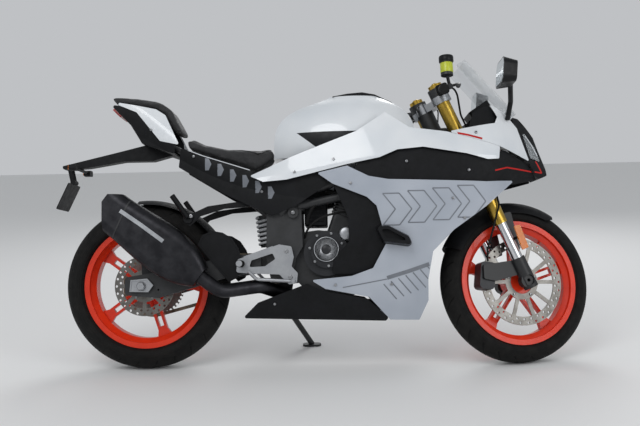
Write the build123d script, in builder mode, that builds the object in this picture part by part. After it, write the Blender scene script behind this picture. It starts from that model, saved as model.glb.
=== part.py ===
from build123d import *
from math import asin, atan2, cos, degrees, hypot, radians, sin, sqrt
import os

# Sport motorcycle, 400 class, parked on its side stand with the steering turned left.
# It is drawn upright and straight ahead, in millimetres: X forward from the rear axle of a
# machine with the wheelbase below, Y to the left, Z up from the floor.  The last section steers
# the front end and leans the whole.

# ---------------------------------------------------------------- driving dimensions
wheelbase = 1370.0
front_reach = 1370.0  # front axle ahead of the drawing's origin; the swingarm takes up the rest
rake = 24.0  # degrees of the steering axis from upright
trail = 98.0
lean = 10.0  # degrees towards the side stand
steer = 17.4  # degrees to the left, as parked
origin_forward = 661.35  # from the drawing's origin to the middle of the length
origin_left = 177.1  # from the tyre line to the middle of the width

bead_radius = 215.9  # 17 inch rim
front_tyre_radius = 293.0
front_tyre_width = 110.0
rear_tyre_radius = 306.0
rear_tyre_width = 150.0
front_rim_width = 88.0
rear_rim_width = 116.0
rim_wall = 5.0
flange_height = 14.0
well_depth = 18.0
spoke_pairs = 5
front_axle_radius = 10.0
front_axle_bore = 6.5
rear_axle_radius = 10.0
running = 0.3  # gap between faces of different bodies
seat_gap = 0.25  # gap between pieces of one body that only touch

fork_spacing = 196.0  # between the tube centres
fork_lead = 6.0  # tube centres ahead of the axle
fork_outer_radius = 26.0
fork_inner_radius = 20.5
stem_radius = 15.0
head_radius = 31.0
yoke_thick = 28.0
top_yoke_height = 1026.0  # along the steering axis, to the yoke's underside
low_yoke_height = 836.0
fork_joint_height = 534.0  # along the axis, where the inner tube leaves the outer

front_disc_radius = 160.0
front_disc_thick = 5.0
front_disc_line = 58.0  # disc centre from the tyre line, right side
rear_disc_radius = 110.0
rear_disc_thick = 5.0
rear_disc_line = 84.0
chain_line = 88.0  # left of the tyre line
rear_teeth = 45
front_teeth = 15
chain_pitch = 15.875
sprocket_thick = 6.0
roller_radius = 5.3

pivot_x = 505.0
pivot_z = 392.0
arm_inner = 104.0  # inner face of a swingarm leg from the tyre line
arm_thick = 30.0
sprocket_x = 582.0
sprocket_z = 380.0

skin_wall = 3.0  # moulded panels
frame_tube_radius = 16.0

# ---------------------------------------------------------------- worked-out places
up_axis = Vector(-sin(radians(rake)), 0, cos(radians(rake)))
ahead = Vector(cos(radians(rake)), 0, sin(radians(rake)))
rear_x = front_reach - wheelbase
axis_foot = Vector(front_reach + trail, 0, 0)
steering = Plane(origin=axis_foot, x_dir=ahead, z_dir=up_axis)
axle_ahead = front_tyre_radius * sin(radians(rake)) - trail * cos(radians(rake))
axle_height = front_tyre_radius * cos(radians(rake)) + trail * sin(radians(rake))
tube_ahead = axle_ahead + fork_lead
front_axle = Vector(front_reach, 0, front_tyre_radius)
rear_axle = Vector(rear_x, 0, rear_tyre_radius)
front_hub = Plane(origin=front_axle, x_dir=(1, 0, 0), z_dir=(0, -1, 0))
rear_hub = Plane(origin=rear_axle, x_dir=(1, 0, 0), z_dir=(0, -1, 0))

os.makedirs("parts", exist_ok=True)
pieces = []


# ---------------------------------------------------------------- shared shapes
# A flat plate in side view: its outline, how far out its inner face is, and its thickness.
def plate(points, inner, thick, radius=0.0):
    with BuildPart() as piece:
        with BuildSketch(Plane.XZ.offset(inner)):
            with BuildLine():
                if radius:
                    FilletPolyline(*points, radius=radius, close=True)
                else:
                    Polyline(*points, close=True)
            make_face()
        extrude(amount=thick)
    return piece.part


# A round bar or tube along a route of straight runs and arcs.
def bar(points, radius, outer, wall=0.0):
    with BuildPart() as piece:
        with BuildLine() as route:
            if len(points) > 2:
                FilletPolyline(*points, radius=radius)
            else:
                Line(*points)
        with BuildSketch(Plane(route.line @ 0, z_dir=route.line % 0)):
            Circle(outer)
            if wall:
                Circle(outer - wall, mode=Mode.SUBTRACT)
        sweep()
    return piece.part


# A pin across the machine between two distances out to the right.
def pin(x, z, inner, outer, radius, bore=0.0):
    with BuildPart() as piece:
        with BuildSketch(Plane.XZ.offset(inner)):
            with Locations((x, z)):
                Circle(radius)
                if bore:
                    Circle(bore, mode=Mode.SUBTRACT)
        extrude(amount=outer - inner)
    return piece.part


def mirror_point(point):
    return Vector(point.X, -point.Y, point.Z)


# A piece and its mirror image on the other side.
def both(part):
    with BuildPart() as pair:
        add(part)
        mirror(part, about=Plane.XZ)
    return pair.part


# Several solids that stay apart in one piece.
def group(*parts):
    return Compound(children=[solid for part in parts for solid in part.solids()])


def keep(part, label, steered=False):
    part.label = label
    pieces.append((part, label, steered))


# ---------------------------------------------------------------- wheels
# Rim section, turned about the axle: two flanges, two bead seats and the well between them.
def rim_barrel(hub, width):
    half = width / 2
    seat = half - 14
    well = half * 0.45
    with BuildPart() as barrel:
        with BuildSketch(Plane(hub.origin, x_dir=(0, 1, 0), z_dir=(1, 0, 0))):
            with BuildLine():
                Polyline(
                    (-half, bead_radius + flange_height),
                    (-half + rim_wall, bead_radius + flange_height),
                    (-half + rim_wall, bead_radius),
                    (-seat, bead_radius),
                    (-well, bead_radius - well_depth),
                    (well, bead_radius - well_depth),
                    (seat, bead_radius),
                    (half - rim_wall, bead_radius),
                    (half - rim_wall, bead_radius + flange_height),
                    (half, bead_radius + flange_height),
                    (half, bead_radius - rim_wall),
                    (seat, bead_radius - rim_wall),
                    (well, bead_radius - well_depth - rim_wall),
                    (-well, bead_radius - well_depth - rim_wall),
                    (-seat, bead_radius - rim_wall),
                    (-half, bead_radius - rim_wall),
                    close=True,
                )
            make_face()
        revolve(axis=Axis(hub.origin, (0, 1, 0)))
    return barrel.part


spoke_half = 5.5
spoke_split = 13.0  # from a pair's middle line to a spoke's
spoke_depth = 22.0
spoke_taper = 1.0
wedge_long = 36.0
wedge_half = 27.0
valve_radius = 4.0
valve_length = 34.0


# Cast wheel: barrel, hub and pairs of thin spokes, each pair joined by a wedge at the rim.
def cast_wheel(hub, width, hub_radius, hub_half, axle_radius, first_angle, bosses):
    reach = bead_radius - well_depth - rim_wall + 1
    inner_reach = hub_radius - 6
    with BuildPart() as wheel:
        add(rim_barrel(hub, width))
        with BuildSketch(hub.offset(-hub_half)):
            Circle(hub_radius)
        extrude(amount=2 * hub_half)
        with BuildSketch(hub.offset(-spoke_depth / 2)):
            for index in range(spoke_pairs):
                turn = first_angle + index * 360 / spoke_pairs
                for side in (-1, 1):
                    blade = [
                        (inner_reach, side * (spoke_split + spoke_half)),
                        (reach, side * (spoke_split + spoke_half - spoke_taper)),
                        (reach, side * (spoke_split - spoke_half + spoke_taper)),
                        (inner_reach, side * (spoke_split - spoke_half)),
                    ]
                    with BuildLine():
                        Polyline(*[Vector(*p).rotate(Axis.Z, turn) for p in blade], close=True)
                    make_face()
                wedge = [
                    (reach, -wedge_half),
                    (reach - wedge_long, -spoke_split),
                    (reach - wedge_long, spoke_split),
                    (reach, wedge_half),
                ]
                with BuildLine():
                    Polyline(*[Vector(*p).rotate(Axis.Z, turn) for p in wedge], close=True)
                make_face()
        extrude(amount=spoke_depth)
        valve_way = Vector(-1, 0, 0).rotate(Axis.Y, -first_angle - 180 / spoke_pairs)
        with BuildSketch(Plane(hub.origin - valve_way * (reach + 2), z_dir=valve_way)):
            Circle(valve_radius)
        extrude(amount=valve_length)
        for start, reach_out, boss_radius in bosses:
            with BuildSketch(hub.offset(start)):
                Circle(boss_radius)
            extrude(amount=reach_out)
        with BuildSketch(hub.offset(-hub_half - 60)):
            Circle(axle_radius + running)
        extrude(amount=2 * hub_half + 120, mode=Mode.SUBTRACT)
    return wheel.part


# Tyre section: a round crown, side walls that narrow to the beads, and a true wall thickness.
def tyre(hub, radius, width, rim_width, crown_radius, wall):
    half = width / 2
    bead = rim_width / 2 - rim_wall - seat_gap
    shoulder_y = half * 0.93
    shoulder_r = radius - crown_radius + sqrt(crown_radius**2 - shoulder_y**2)
    toe = bead_radius + seat_gap
    flange_top = bead_radius + flange_height + 2
    widest = (flange_top + shoulder_r) / 2
    with BuildPart() as body:
        with BuildSketch(Plane(hub.origin, x_dir=(0, 1, 0), z_dir=(1, 0, 0))) as section:
            with BuildLine():
                ThreePointArc((-shoulder_y, shoulder_r), (0, radius), (shoulder_y, shoulder_r))
                ThreePointArc((shoulder_y, shoulder_r), (half, widest), (bead, flange_top))
                Polyline((bead, flange_top), (bead, toe), (-bead, toe), (-bead, flange_top))
                ThreePointArc((-bead, flange_top), (-half, widest), (-shoulder_y, shoulder_r))
            make_face()
            offset(section.sketch, amount=-wall, mode=Mode.SUBTRACT)
            with Locations((0, toe + wall / 2)):
                Rectangle(2 * (bead - wall), wall + 1, mode=Mode.SUBTRACT)
        revolve(axis=Axis(hub.origin, (0, 1, 0)))
    return body.part


drill_radius = 4.5
drill_shift = 7.0  # of the two rings of holes from the band's middle
carrier_width = 14.0
carrier_inset = 0.5  # of the carrier's faces from the disc's


# Drilled disc with a carrier that bolts to the hub.
def brake_disc(hub, line, thick, outer, inner, carrier, bolt_ring, holes):
    with BuildPart() as disc:
        with BuildSketch(hub.offset(line - thick / 2)):
            Circle(outer)
            Circle(inner, mode=Mode.SUBTRACT)
            with PolarLocations((outer + inner) / 2 + drill_shift, holes):
                Circle(drill_radius, mode=Mode.SUBTRACT)
            with PolarLocations((outer + inner) / 2 - drill_shift, holes, start_angle=180 / holes):
                Circle(drill_radius, mode=Mode.SUBTRACT)
        extrude(amount=thick)
        with BuildSketch(hub.offset(line - thick / 2 + carrier_inset)):
            Circle(bolt_ring + 9)
            Circle(bolt_ring - 12, mode=Mode.SUBTRACT)
            with PolarLocations((bolt_ring + inner) / 2, carrier):
                Rectangle(inner - bolt_ring + 8, carrier_width)
        extrude(amount=thick - 2 * carrier_inset)
    return disc.part


front_crown = 58.0
rear_crown = 80.0
front_hub_half = 46.0
rear_hub_half = 56.0
front_disc_bolts = 56.0
rear_disc_bolts = 50.0
sprocket_bolts = 62.0
front_disc_seat = front_disc_line - front_disc_thick / 2 + carrier_inset
rear_disc_seat = rear_disc_line - rear_disc_thick / 2 + carrier_inset
sprocket_seat = chain_line - sprocket_thick / 2

# Bosses that carry a disc or a sprocket: start, length outwards to the right, radius.
front_bosses = [(front_hub_half, front_disc_seat - front_hub_half, front_disc_bolts + 8)]
rear_bosses = [
    (rear_hub_half, rear_disc_seat - rear_hub_half, rear_disc_bolts + 8),
    (-sprocket_seat, sprocket_seat - rear_hub_half, sprocket_bolts + 10),
]
keep(
    cast_wheel(
        front_hub, front_rim_width, 34, front_hub_half, front_axle_radius, 18, front_bosses
    ),
    "front_rim",
    True,
)
keep(
    tyre(front_hub, front_tyre_radius, front_tyre_width, front_rim_width, front_crown, 7),
    "front_tyre",
    True,
)
keep(
    brake_disc(
        front_hub,
        front_disc_line,
        front_disc_thick,
        front_disc_radius,
        128,
        10,
        front_disc_bolts,
        30,
    ),
    "front_disc",
    True,
)
keep(
    cast_wheel(rear_hub, rear_rim_width, 46, rear_hub_half, rear_axle_radius, 0, rear_bosses),
    "rear_rim",
)
keep(tyre(rear_hub, rear_tyre_radius, rear_tyre_width, rear_rim_width, rear_crown, 8), "rear_tyre")
keep(
    brake_disc(
        rear_hub,
        rear_disc_line,
        rear_disc_thick,
        rear_disc_radius,
        82,
        8,
        rear_disc_bolts,
        24,
    ),
    "rear_disc",
)


# Toothed wheel for the chain: a round blank with a round gullet under each roller.
def sprocket(centre, teeth, bore):
    pitch_radius = chain_pitch / 2 / sin(radians(180 / teeth))
    with BuildPart() as wheel:
        with BuildSketch(Plane.XZ.offset(-chain_line - sprocket_thick / 2)):
            with Locations(centre):
                Circle(pitch_radius + 4)
                with PolarLocations(pitch_radius, teeth):
                    Circle(roller_radius, mode=Mode.SUBTRACT)
                Circle(bore, mode=Mode.SUBTRACT)
        extrude(amount=sprocket_thick)
    return wheel.part


rear_sprocket = sprocket((rear_x, rear_tyre_radius), rear_teeth, sprocket_bolts - 14)
keep(rear_sprocket, "rear_sprocket")

# ---------------------------------------------------------------- steering body
# Both yokes: a plate round the stem and the two fork tubes.
yoke_rows = [
    # height, thickness, clamp radius
    (low_yoke_height, yoke_thick, fork_outer_radius + 9),
    (top_yoke_height, yoke_thick, fork_outer_radius + 9),
]
half_spacing = fork_spacing / 2
with BuildPart() as yokes:
    for height, thick, clamp in yoke_rows:
        with BuildSketch(steering.offset(height)):
            with BuildLine():
                Polyline(
                    (tube_ahead + 18, -half_spacing),
                    (tube_ahead + 18, half_spacing),
                    (-6, 34),
                    (-6, -34),
                    close=True,
                )
            make_face()
            Circle(25)
            with Locations((tube_ahead, -half_spacing), (tube_ahead, half_spacing)):
                Circle(clamp)
            with Locations((tube_ahead, -half_spacing), (tube_ahead, half_spacing)):
                Circle(fork_outer_radius + seat_gap, mode=Mode.SUBTRACT)
        extrude(amount=thick)
    with BuildSketch(steering.offset(low_yoke_height)):
        Circle(stem_radius)
    extrude(amount=top_yoke_height - low_yoke_height)
    with BuildSketch(steering.offset(top_yoke_height + yoke_thick)):
        Circle(17)
    extrude(amount=9)
keep(yokes.part, "fork_yokes", True)

tube_stand_out = 42.0  # of the fork tubes above the top yoke
tube_top = top_yoke_height + yoke_thick + tube_stand_out
with BuildPart() as outer_tubes:
    with BuildSketch(steering.offset(fork_joint_height)):
        with Locations((tube_ahead, -half_spacing), (tube_ahead, half_spacing)):
            Circle(fork_outer_radius)
            Circle(fork_inner_radius + seat_gap, mode=Mode.SUBTRACT)
    extrude(amount=tube_top - fork_joint_height)
    with BuildSketch(steering.offset(tube_top - 6)):
        with Locations((tube_ahead, -half_spacing), (tube_ahead, half_spacing)):
            Circle(fork_outer_radius)
    extrude(amount=10)
keep(outer_tubes.part, "fork_outer_tubes", True)

# Inner tubes, axle lugs and the axle, with the mudguard's stays and the caliper's ear.
lug_half = 14.0
lug_radius = 27.0
axle_end = half_spacing + lug_half + 4  # from the tyre line
spot_face_radius = 19.0
spot_face_depth = 20.0
fender_half = 66.0
stay_inner = fender_half + seat_gap
stay_thick = 14.0
stay_outline = [(1332, 400), (1306, 545), (1336, 552), (1364, 410)]
reflector_inner = 121.0
reflector_post = (1346, 452)
reflector_outline = [(1321, 489), (1345, 495), (1374, 412), (1349, 401)]
caliper_reach = 28.0  # outer face of the caliper from the disc centre
caliper_ear = [(1205, 300), (1205, 350), (1350, 372), (1362, 320), (1250, 292)]
with BuildPart() as inner_tubes:
    with BuildSketch(steering.offset(axle_height + 40)):
        with Locations((tube_ahead, -half_spacing), (tube_ahead, half_spacing)):
            Circle(fork_inner_radius)
    extrude(amount=fork_joint_height - axle_height + 120)
    with BuildSketch(steering.offset(axle_height - 30)):
        with Locations((tube_ahead, -half_spacing), (tube_ahead, half_spacing)):
            Circle(fork_inner_radius + 6)
    extrude(amount=118)
    for side in (-1, 1):
        with BuildSketch(Plane.XZ.offset(side * half_spacing - lug_half)):
            with Locations((front_axle.X, front_axle.Z)):
                Circle(lug_radius)
        extrude(amount=2 * lug_half)
    with BuildSketch(Plane.XZ.offset(-axle_end)):
        with Locations((front_axle.X, front_axle.Z)):
            Circle(front_axle_radius)
    extrude(amount=2 * axle_end)
    for side in (-1, 1):
        near = stay_inner if side > 0 else -stay_inner - stay_thick
        with BuildSketch(Plane.XZ.offset(near)):
            with BuildLine():
                FilletPolyline(*stay_outline, radius=6, close=True)
            make_face()
        extrude(amount=stay_thick)
    for side in (-1, 1):
        start = stay_inner + 2 if side > 0 else -reflector_inner + seat_gap
        with BuildSketch(Plane.XZ.offset(start)):
            with Locations(reflector_post):
                Circle(5)
        extrude(amount=reflector_inner - seat_gap - stay_inner - 2)
    with BuildSketch(Plane.XZ.offset(front_disc_line + caliper_reach + seat_gap)):
        with BuildLine():
            FilletPolyline(*caliper_ear, radius=8, close=True)
        make_face()
    extrude(amount=10)
    for start in (axle_end, -axle_end - spot_face_depth):
        with BuildSketch(Plane.XZ.offset(start)):
            with Locations((front_axle.X, front_axle.Z)):
                Circle(spot_face_radius)
        extrude(amount=spot_face_depth, mode=Mode.SUBTRACT)
    with BuildSketch(Plane.XZ.offset(-axle_end - 1)):
        with Locations((front_axle.X, front_axle.Z)):
            Circle(front_axle_bore)
    extrude(amount=2 * axle_end + 2, mode=Mode.SUBTRACT)
keep(inner_tubes.part, "fork_inner_tubes", True)
keep(both(plate(reflector_outline, reflector_inner, 6, 4)), "reflectors", True)

# Handlebars: a clamp round each tube above the yoke and a bar that droops and sweeps back.
bar_clamp_height = top_yoke_height + yoke_thick + seat_gap
bar_root = Vector(tube_ahead, -half_spacing - fork_outer_radius, bar_clamp_height + 16)
bar_tip = Vector(-69.5, -345, 1036)
bar_radius = 11.1
grip_radius = 16.5
grip_length = 118.0


def on_steering(local):
    return steering.from_local_coords(local)


with BuildPart() as right_bar:
    with BuildSketch(steering.offset(bar_clamp_height)):
        with Locations((tube_ahead, -half_spacing)):
            Circle(fork_outer_radius + 8)
        with Locations((tube_ahead, -half_spacing - fork_outer_radius - 10)):
            Rectangle(26, 22)
        with Locations((tube_ahead, -half_spacing)):
            Circle(fork_outer_radius + seat_gap, mode=Mode.SUBTRACT)
    extrude(amount=32)
    bar_start = on_steering(bar_root - Vector(0, 4, 0))
    bar_way = (on_steering(bar_tip) - on_steering(bar_root)).normalized()
    bar_front = (ahead - bar_way * ahead.dot(bar_way)).normalized()
    bar_plane = Plane(bar_start, x_dir=bar_front, z_dir=bar_way)
    with BuildSketch(bar_plane):
        Circle(bar_radius)
    extrude(amount=(bar_tip - bar_root).length - 12)
keep(both(right_bar.part), "handlebars", True)

grip_start = (bar_tip - bar_root).length - 12 - grip_length
with BuildPart() as right_grip:
    with BuildSketch(bar_plane.offset(grip_start)):
        Circle(grip_radius)
        Circle(bar_radius + seat_gap, mode=Mode.SUBTRACT)
    extrude(amount=grip_length)
    with BuildSketch(bar_plane.offset(grip_start + grip_length + seat_gap)):
        Circle(grip_radius - 1)
    extrude(amount=20)
keep(both(right_grip.part), "grips", True)

# Switch housings and the perches that hold the levers.
perch_half = 20.0
with BuildPart() as right_controls:
    with BuildSketch(bar_plane.offset(grip_start - 44)):
        RectangleRounded(44, 40, 9)
        Circle(bar_radius + seat_gap, mode=Mode.SUBTRACT)
    extrude(amount=42)
    with BuildSketch(bar_plane.offset(grip_start - 78)):
        RectangleRounded(2 * perch_half, 34, 8)
        Circle(bar_radius + seat_gap, mode=Mode.SUBTRACT)
    extrude(amount=32)
keep(both(right_controls.part), "bar_controls", True)


def at_bar(along, front, above):
    return bar_plane.from_local_coords((front, above, along))


# Levers on their cylinders; the right one carries the brake fluid's reservoir on a stalk.
cylinder_radius = 11.0
cylinder_front = perch_half + cylinder_radius + seat_gap
lever_radius = 5.0
reservoir_spot = (1052, -222)
reservoir_base = 1013.0
reservoir_radius = 22.0
reservoir_height = 50.0
lid_height = 22.0
stalk_radius = 6.0
with BuildPart() as lever_set:
    cylinder_ends = [at_bar(grip_start - along, cylinder_front, 0) for along in (86, 46)]
    add(bar(cylinder_ends, 0, cylinder_radius))
    lever_route = [
        at_bar(grip_start - 60, cylinder_front, 0),
        at_bar(grip_start - 44, 64, -4),
        at_bar(grip_start + 30, 60, -8),
        at_bar(grip_start + grip_length - 14, 48, -10),
    ]
    add(bar(lever_route, [12, 60], lever_radius))
    with Locations(lever_route[-1]):
        Sphere(8)
with BuildPart() as levers:
    add(both(lever_set.part))
    with BuildSketch(Plane.XY.offset(reservoir_base)):
        with Locations(reservoir_spot):
            Circle(reservoir_radius)
    extrude(amount=reservoir_height)
    with BuildSketch(Plane.XY.offset(reservoir_base + reservoir_height)):
        with Locations(reservoir_spot):
            Circle(reservoir_radius + 3)
    extrude(amount=lid_height)
    stalk_foot = at_bar(grip_start - 62, cylinder_front, 0)
    add(bar([stalk_foot, Vector(*reservoir_spot, reservoir_base + 6)], 0, stalk_radius))
keep(levers.part, "levers", True)

# Brake hose down the front of the right leg to the caliper, and a cable from the left lever.
hose_radius = 3.6
hose_route = [
    at_bar(grip_start - 86 - seat_gap, cylinder_front, 0),
    at_bar(grip_start - 118, cylinder_front + 1, 0),
    on_steering((108, -104, 1052)),
    on_steering((78, -104, 960)),
    on_steering((78, -104, 690)),
    on_steering((44, -134, 600)),
    on_steering((-20, -134, 530)),
    on_steering((-62, -104, 470)),
    on_steering((-64, -72, 432)),
]
cable_route = [
    mirror_point(hose_route[0]),
    mirror_point(hose_route[1]),
    on_steering((108, 84, 1044)),
    on_steering((tube_ahead + 14, 60, 960)),
    on_steering((tube_ahead + 14, 60, low_yoke_height + yoke_thick + seat_gap)),
]
with BuildPart() as hoses:
    add(bar(hose_route, [14, 32, 60, 60, 40, 40, 30], hose_radius))
    add(bar(cable_route, [14, 32, 40], hose_radius - 1))
keep(hoses.part, "brake_hoses", True)

# Mudguard: an arch over a tyre between two angles, with skirts down its sides.
def mudguard(axle, arch, half, skirt, wall, start, sweep):
    out = Vector(1, 0, 0).rotate(Axis.Y, -start)
    edge = arch - skirt
    with BuildPart() as guard:
        with BuildSketch(Plane(axle, x_dir=(0, 1, 0), z_dir=Vector(0, 1, 0).cross(out))):
            with BuildLine():
                ThreePointArc((-half, edge), (0, arch + wall), (half, edge))
                Line((half, edge), (half - wall, edge))
                ThreePointArc((half - wall, edge), (0, arch), (wall - half, edge))
                Line((wall - half, edge), (-half, edge))
            make_face()
        revolve(axis=Axis(axle, (0, 1, 0)), revolution_arc=sweep)
    return guard.part


guard_wall = 3.0
fender_arch = front_tyre_radius + 11
fender_nose = [
    (1560, 600),
    (1519, 529),
    (1444, 518),
    (1391, 529),
    (1330, 500),
    (1500, 300),
    (1700, 400),
]
with BuildPart() as fender:
    add(mudguard(front_axle, fender_arch, fender_half, 46, guard_wall, 154, 110))
    add(plate(fender_nose, -100, 200), mode=Mode.SUBTRACT)
keep(fender.part, "front_fender", True)

# Front brake caliper behind the right leg, over the disc.
caliper_turn = 172.0  # degrees up from forwards
with BuildPart() as front_caliper:
    with BuildSketch(front_hub.offset(front_disc_line - 26)):
        with Locations(Vector(147, 0).rotate(Axis.Z, caliper_turn)):
            RectangleRounded(58, 100, 16, rotation=caliper_turn)
    extrude(amount=26 + caliper_reach)
    with BuildSketch(front_hub.offset(front_disc_line - front_disc_thick / 2 - 1.5)):
        Circle(front_disc_radius + 4)
    extrude(amount=front_disc_thick + 3, mode=Mode.SUBTRACT)
keep(front_caliper.part, "front_caliper", True)

# ---------------------------------------------------------------- frame, engine, swingarm
head_base = low_yoke_height + yoke_thick + running
head_top = top_yoke_height - running
pivot_plate_outline = [
    (455, 600),
    (530, 618),
    (580, 590),
    (584, 440),
    (560, 400),
    (540, 310),
    (470, 310),
    (452, 400),
]
frame_inner = 118.0  # inner face of the pivot plates
frame_outer = 134.0
engine_bolts = [
    # x, z, nearest face of the engine
    (567, 462, 100.0),
    (786, 628, 88.0),
]
shock_eye = 13.0
cross_radius = 14.0
cross_spot = (462, 592)
stay_radius = 9.0
stay_bar_x = 1300.0
stay_bar_z = 880.0
stay_half = 131.0
stay_cross_radius = 11.0
with BuildPart() as frame:
    with BuildSketch(steering.offset(head_base)):
        Circle(head_radius)
    extrude(amount=head_top - head_base)
    frame_tubes = [
        ((1086, 18, 858), (930, 126, 740), (600, 126, 640), (500, 126, 560)),
        ((1098, 18, 832), (975, 126, 668), (570, 126, 588)),
        ((930, 126, 740), (900, 126, 653)),
        ((740, 126, 682), (786, 126, 631)),
    ]
    for run in frame_tubes:
        for side in (1, -1):
            add(bar([(x, side * y, z) for x, y, z in run], 60, frame_tube_radius))
    for side in (1, -1):
        with BuildSketch(Plane.XZ.offset(side * 126 - 8)):
            with BuildLine():
                FilletPolyline(*pivot_plate_outline, radius=10, close=True)
            make_face()
        extrude(amount=16)
    for x, z, face in engine_bolts:
        for side in (1, -1):
            with BuildSketch(Plane.XZ.offset(side * (face + seat_gap) if side > 0 else -118)):
                with Locations((x, z)):
                    Circle(9)
            extrude(amount=118 - face - seat_gap)
    with BuildSketch(Plane.XZ.offset(-120)):
        with Locations(cross_spot):
            Circle(cross_radius)
    extrude(amount=240)
    for side in (1, -1):
        add(bar([(950, side * 126, 644), (977.4, side * 126, 644)], 0, 7))
    with BuildSketch(steering.offset(head_base - 1)):
        Circle(stem_radius + 1.5)
    extrude(amount=head_top - head_base + 2, mode=Mode.SUBTRACT)

# Engine: crankcase, then the block and head that lean forward from it.
crank_half = 100.0
crank_outline = [
    (548, 440),
    (556, 320),
    (610, 262),
    (740, 250),
    (850, 300),
    (862, 400),
    (810, 478),
    (640, 500),
    (560, 490),
]
sprocket_pocket = [(530, 460), (530, 310), (600, 310), (644, 360), (644, 430)]
block_tilt = 20.0  # degrees forward of upright
block_plane = Plane(
    origin=(718, 0, 440),
    x_dir=(cos(radians(block_tilt)), 0, -sin(radians(block_tilt))),
    z_dir=(sin(radians(block_tilt)), 0, cos(radians(block_tilt))),
)
block_half = 62.0
port_height = 200.0
shaft_radius = 11.7
fin_count = 6
fin_pitch = 11.0
with BuildPart() as engine:
    with BuildSketch(Plane.XZ.offset(-crank_half)):
        with BuildLine():
            FilletPolyline(*crank_outline, radius=18, close=True)
        make_face()
    extrude(amount=2 * crank_half)
    with BuildSketch(block_plane):
        RectangleRounded(2 * block_half, 176, 14)
    extrude(amount=230)
    with BuildSketch(block_plane.offset(230)):
        RectangleRounded(142, 190, 20)
    extrude(amount=52)
    for index in range(fin_count):
        with BuildSketch(block_plane.offset(112 + index * fin_pitch)):
            RectangleRounded(140, 192, 16)
        extrude(amount=4)
    with BuildSketch(Plane.XZ.offset(-crank_half)):
        with BuildLine():
            FilletPolyline(*sprocket_pocket, radius=20, close=True)
        make_face()
    extrude(amount=crank_half - chain_line + 18, mode=Mode.SUBTRACT)
    with BuildSketch(Plane.XZ.offset(-chain_line - 8)):
        with Locations((sprocket_x, sprocket_z)):
            Circle(shaft_radius)
    extrude(amount=40)
keep(engine.part, "engine")

# Round covers bolted on each side of the crankcase: clutch right, alternator left.
cover_rows = [
    # side, x, z, base radius, base depth, cap radius, cap depth
    (1, 669, 414, 82, 30, 53, 16),
    (-1, 700, 392, 80, 34, 46, 10),
    (-1, sprocket_x + 12, sprocket_z, 46, 10, 26, 3),
]
with BuildPart() as covers:
    for side, x, z, base_radius, base_depth, cap_radius, cap_depth in cover_rows:
        face = Plane.XZ.offset(side * (crank_half + seat_gap))
        if side < 0:
            face = Plane(face.origin, x_dir=(1, 0, 0), z_dir=(0, 1, 0))
        flip = 1 if side > 0 else -1
        with BuildSketch(face):
            with Locations((x, flip * z)):
                Circle(base_radius)
        extrude(amount=base_depth)
        with BuildSketch(face.offset(base_depth)):
            with Locations((x, flip * z)):
                Circle(cap_radius)
        extrude(amount=cap_depth)
keep(covers.part, "engine_covers")

# Swingarm: two deep legs, a pivot tube and a bridge ahead of the tyre.
arm_outline = [
    (rear_x - 62, 274),
    (rear_x - 62, 338),
    (rear_x + 20, 350),
    (300, 405),
    (432, 420),
    (432, 352),
    (300, 330),
    (rear_x + 60, 262),
]
bridge_outline = [(338, 352), (338, 398), (432, 406), (530, 407), (530, 368), (432, 352)]
bridge_half = frame_inner - 5
arm_pivot_radius = 12.0
bobbin_spot = (rear_x + 60, 292)
bobbin_bore = 3.4  # core of an M8 thread
bobbin_depth = 22.0
with BuildPart() as swingarm:
    for side in (1, -1):
        near = arm_inner if side > 0 else -arm_inner - arm_thick
        with BuildSketch(Plane.XZ.offset(near)):
            with BuildLine():
                FilletPolyline(*arm_outline, radius=12, close=True)
            make_face()
        extrude(amount=arm_thick)
    with BuildSketch(Plane.XZ.offset(-bridge_half)):
        with BuildLine():
            FilletPolyline(*bridge_outline, radius=12, close=True)
        make_face()
    extrude(amount=2 * bridge_half)
    with BuildSketch(Plane.XZ.offset(-arm_inner - arm_thick - 10)):
        with Locations((rear_x, rear_tyre_radius)):
            Circle(rear_axle_radius)
    extrude(amount=2 * (arm_inner + arm_thick + 10))
    with BuildSketch(Plane.XZ.offset(-frame_inner)):
        with Locations((pivot_x, pivot_z)):
            Circle(arm_pivot_radius)
    extrude(amount=2 * frame_inner)
    for face, deep in ((arm_inner + arm_thick, -bobbin_depth), (-arm_inner - arm_thick, bobbin_depth)):
        with BuildSketch(Plane.XZ.offset(face)):
            with Locations(bobbin_spot):
                Circle(bobbin_bore)
        extrude(amount=deep, mode=Mode.SUBTRACT)
keep(swingarm.part, "swingarm")

# Rear mudguard close over the tyre, standing on the swingarm's bridge.
hugger_arch = rear_tyre_radius + 12
hugger_tab = [(rear_x + 296, 424), (372, 414), (372, 401.2), (338, 398.3), (rear_x + 312, 400)]
with BuildPart() as hugger:
    add(mudguard(rear_axle, hugger_arch, 70, 16, guard_wall, 96, 77))
    add(plate(hugger_tab, -32, 64))
keep(hugger.part, "rear_hugger")

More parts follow.
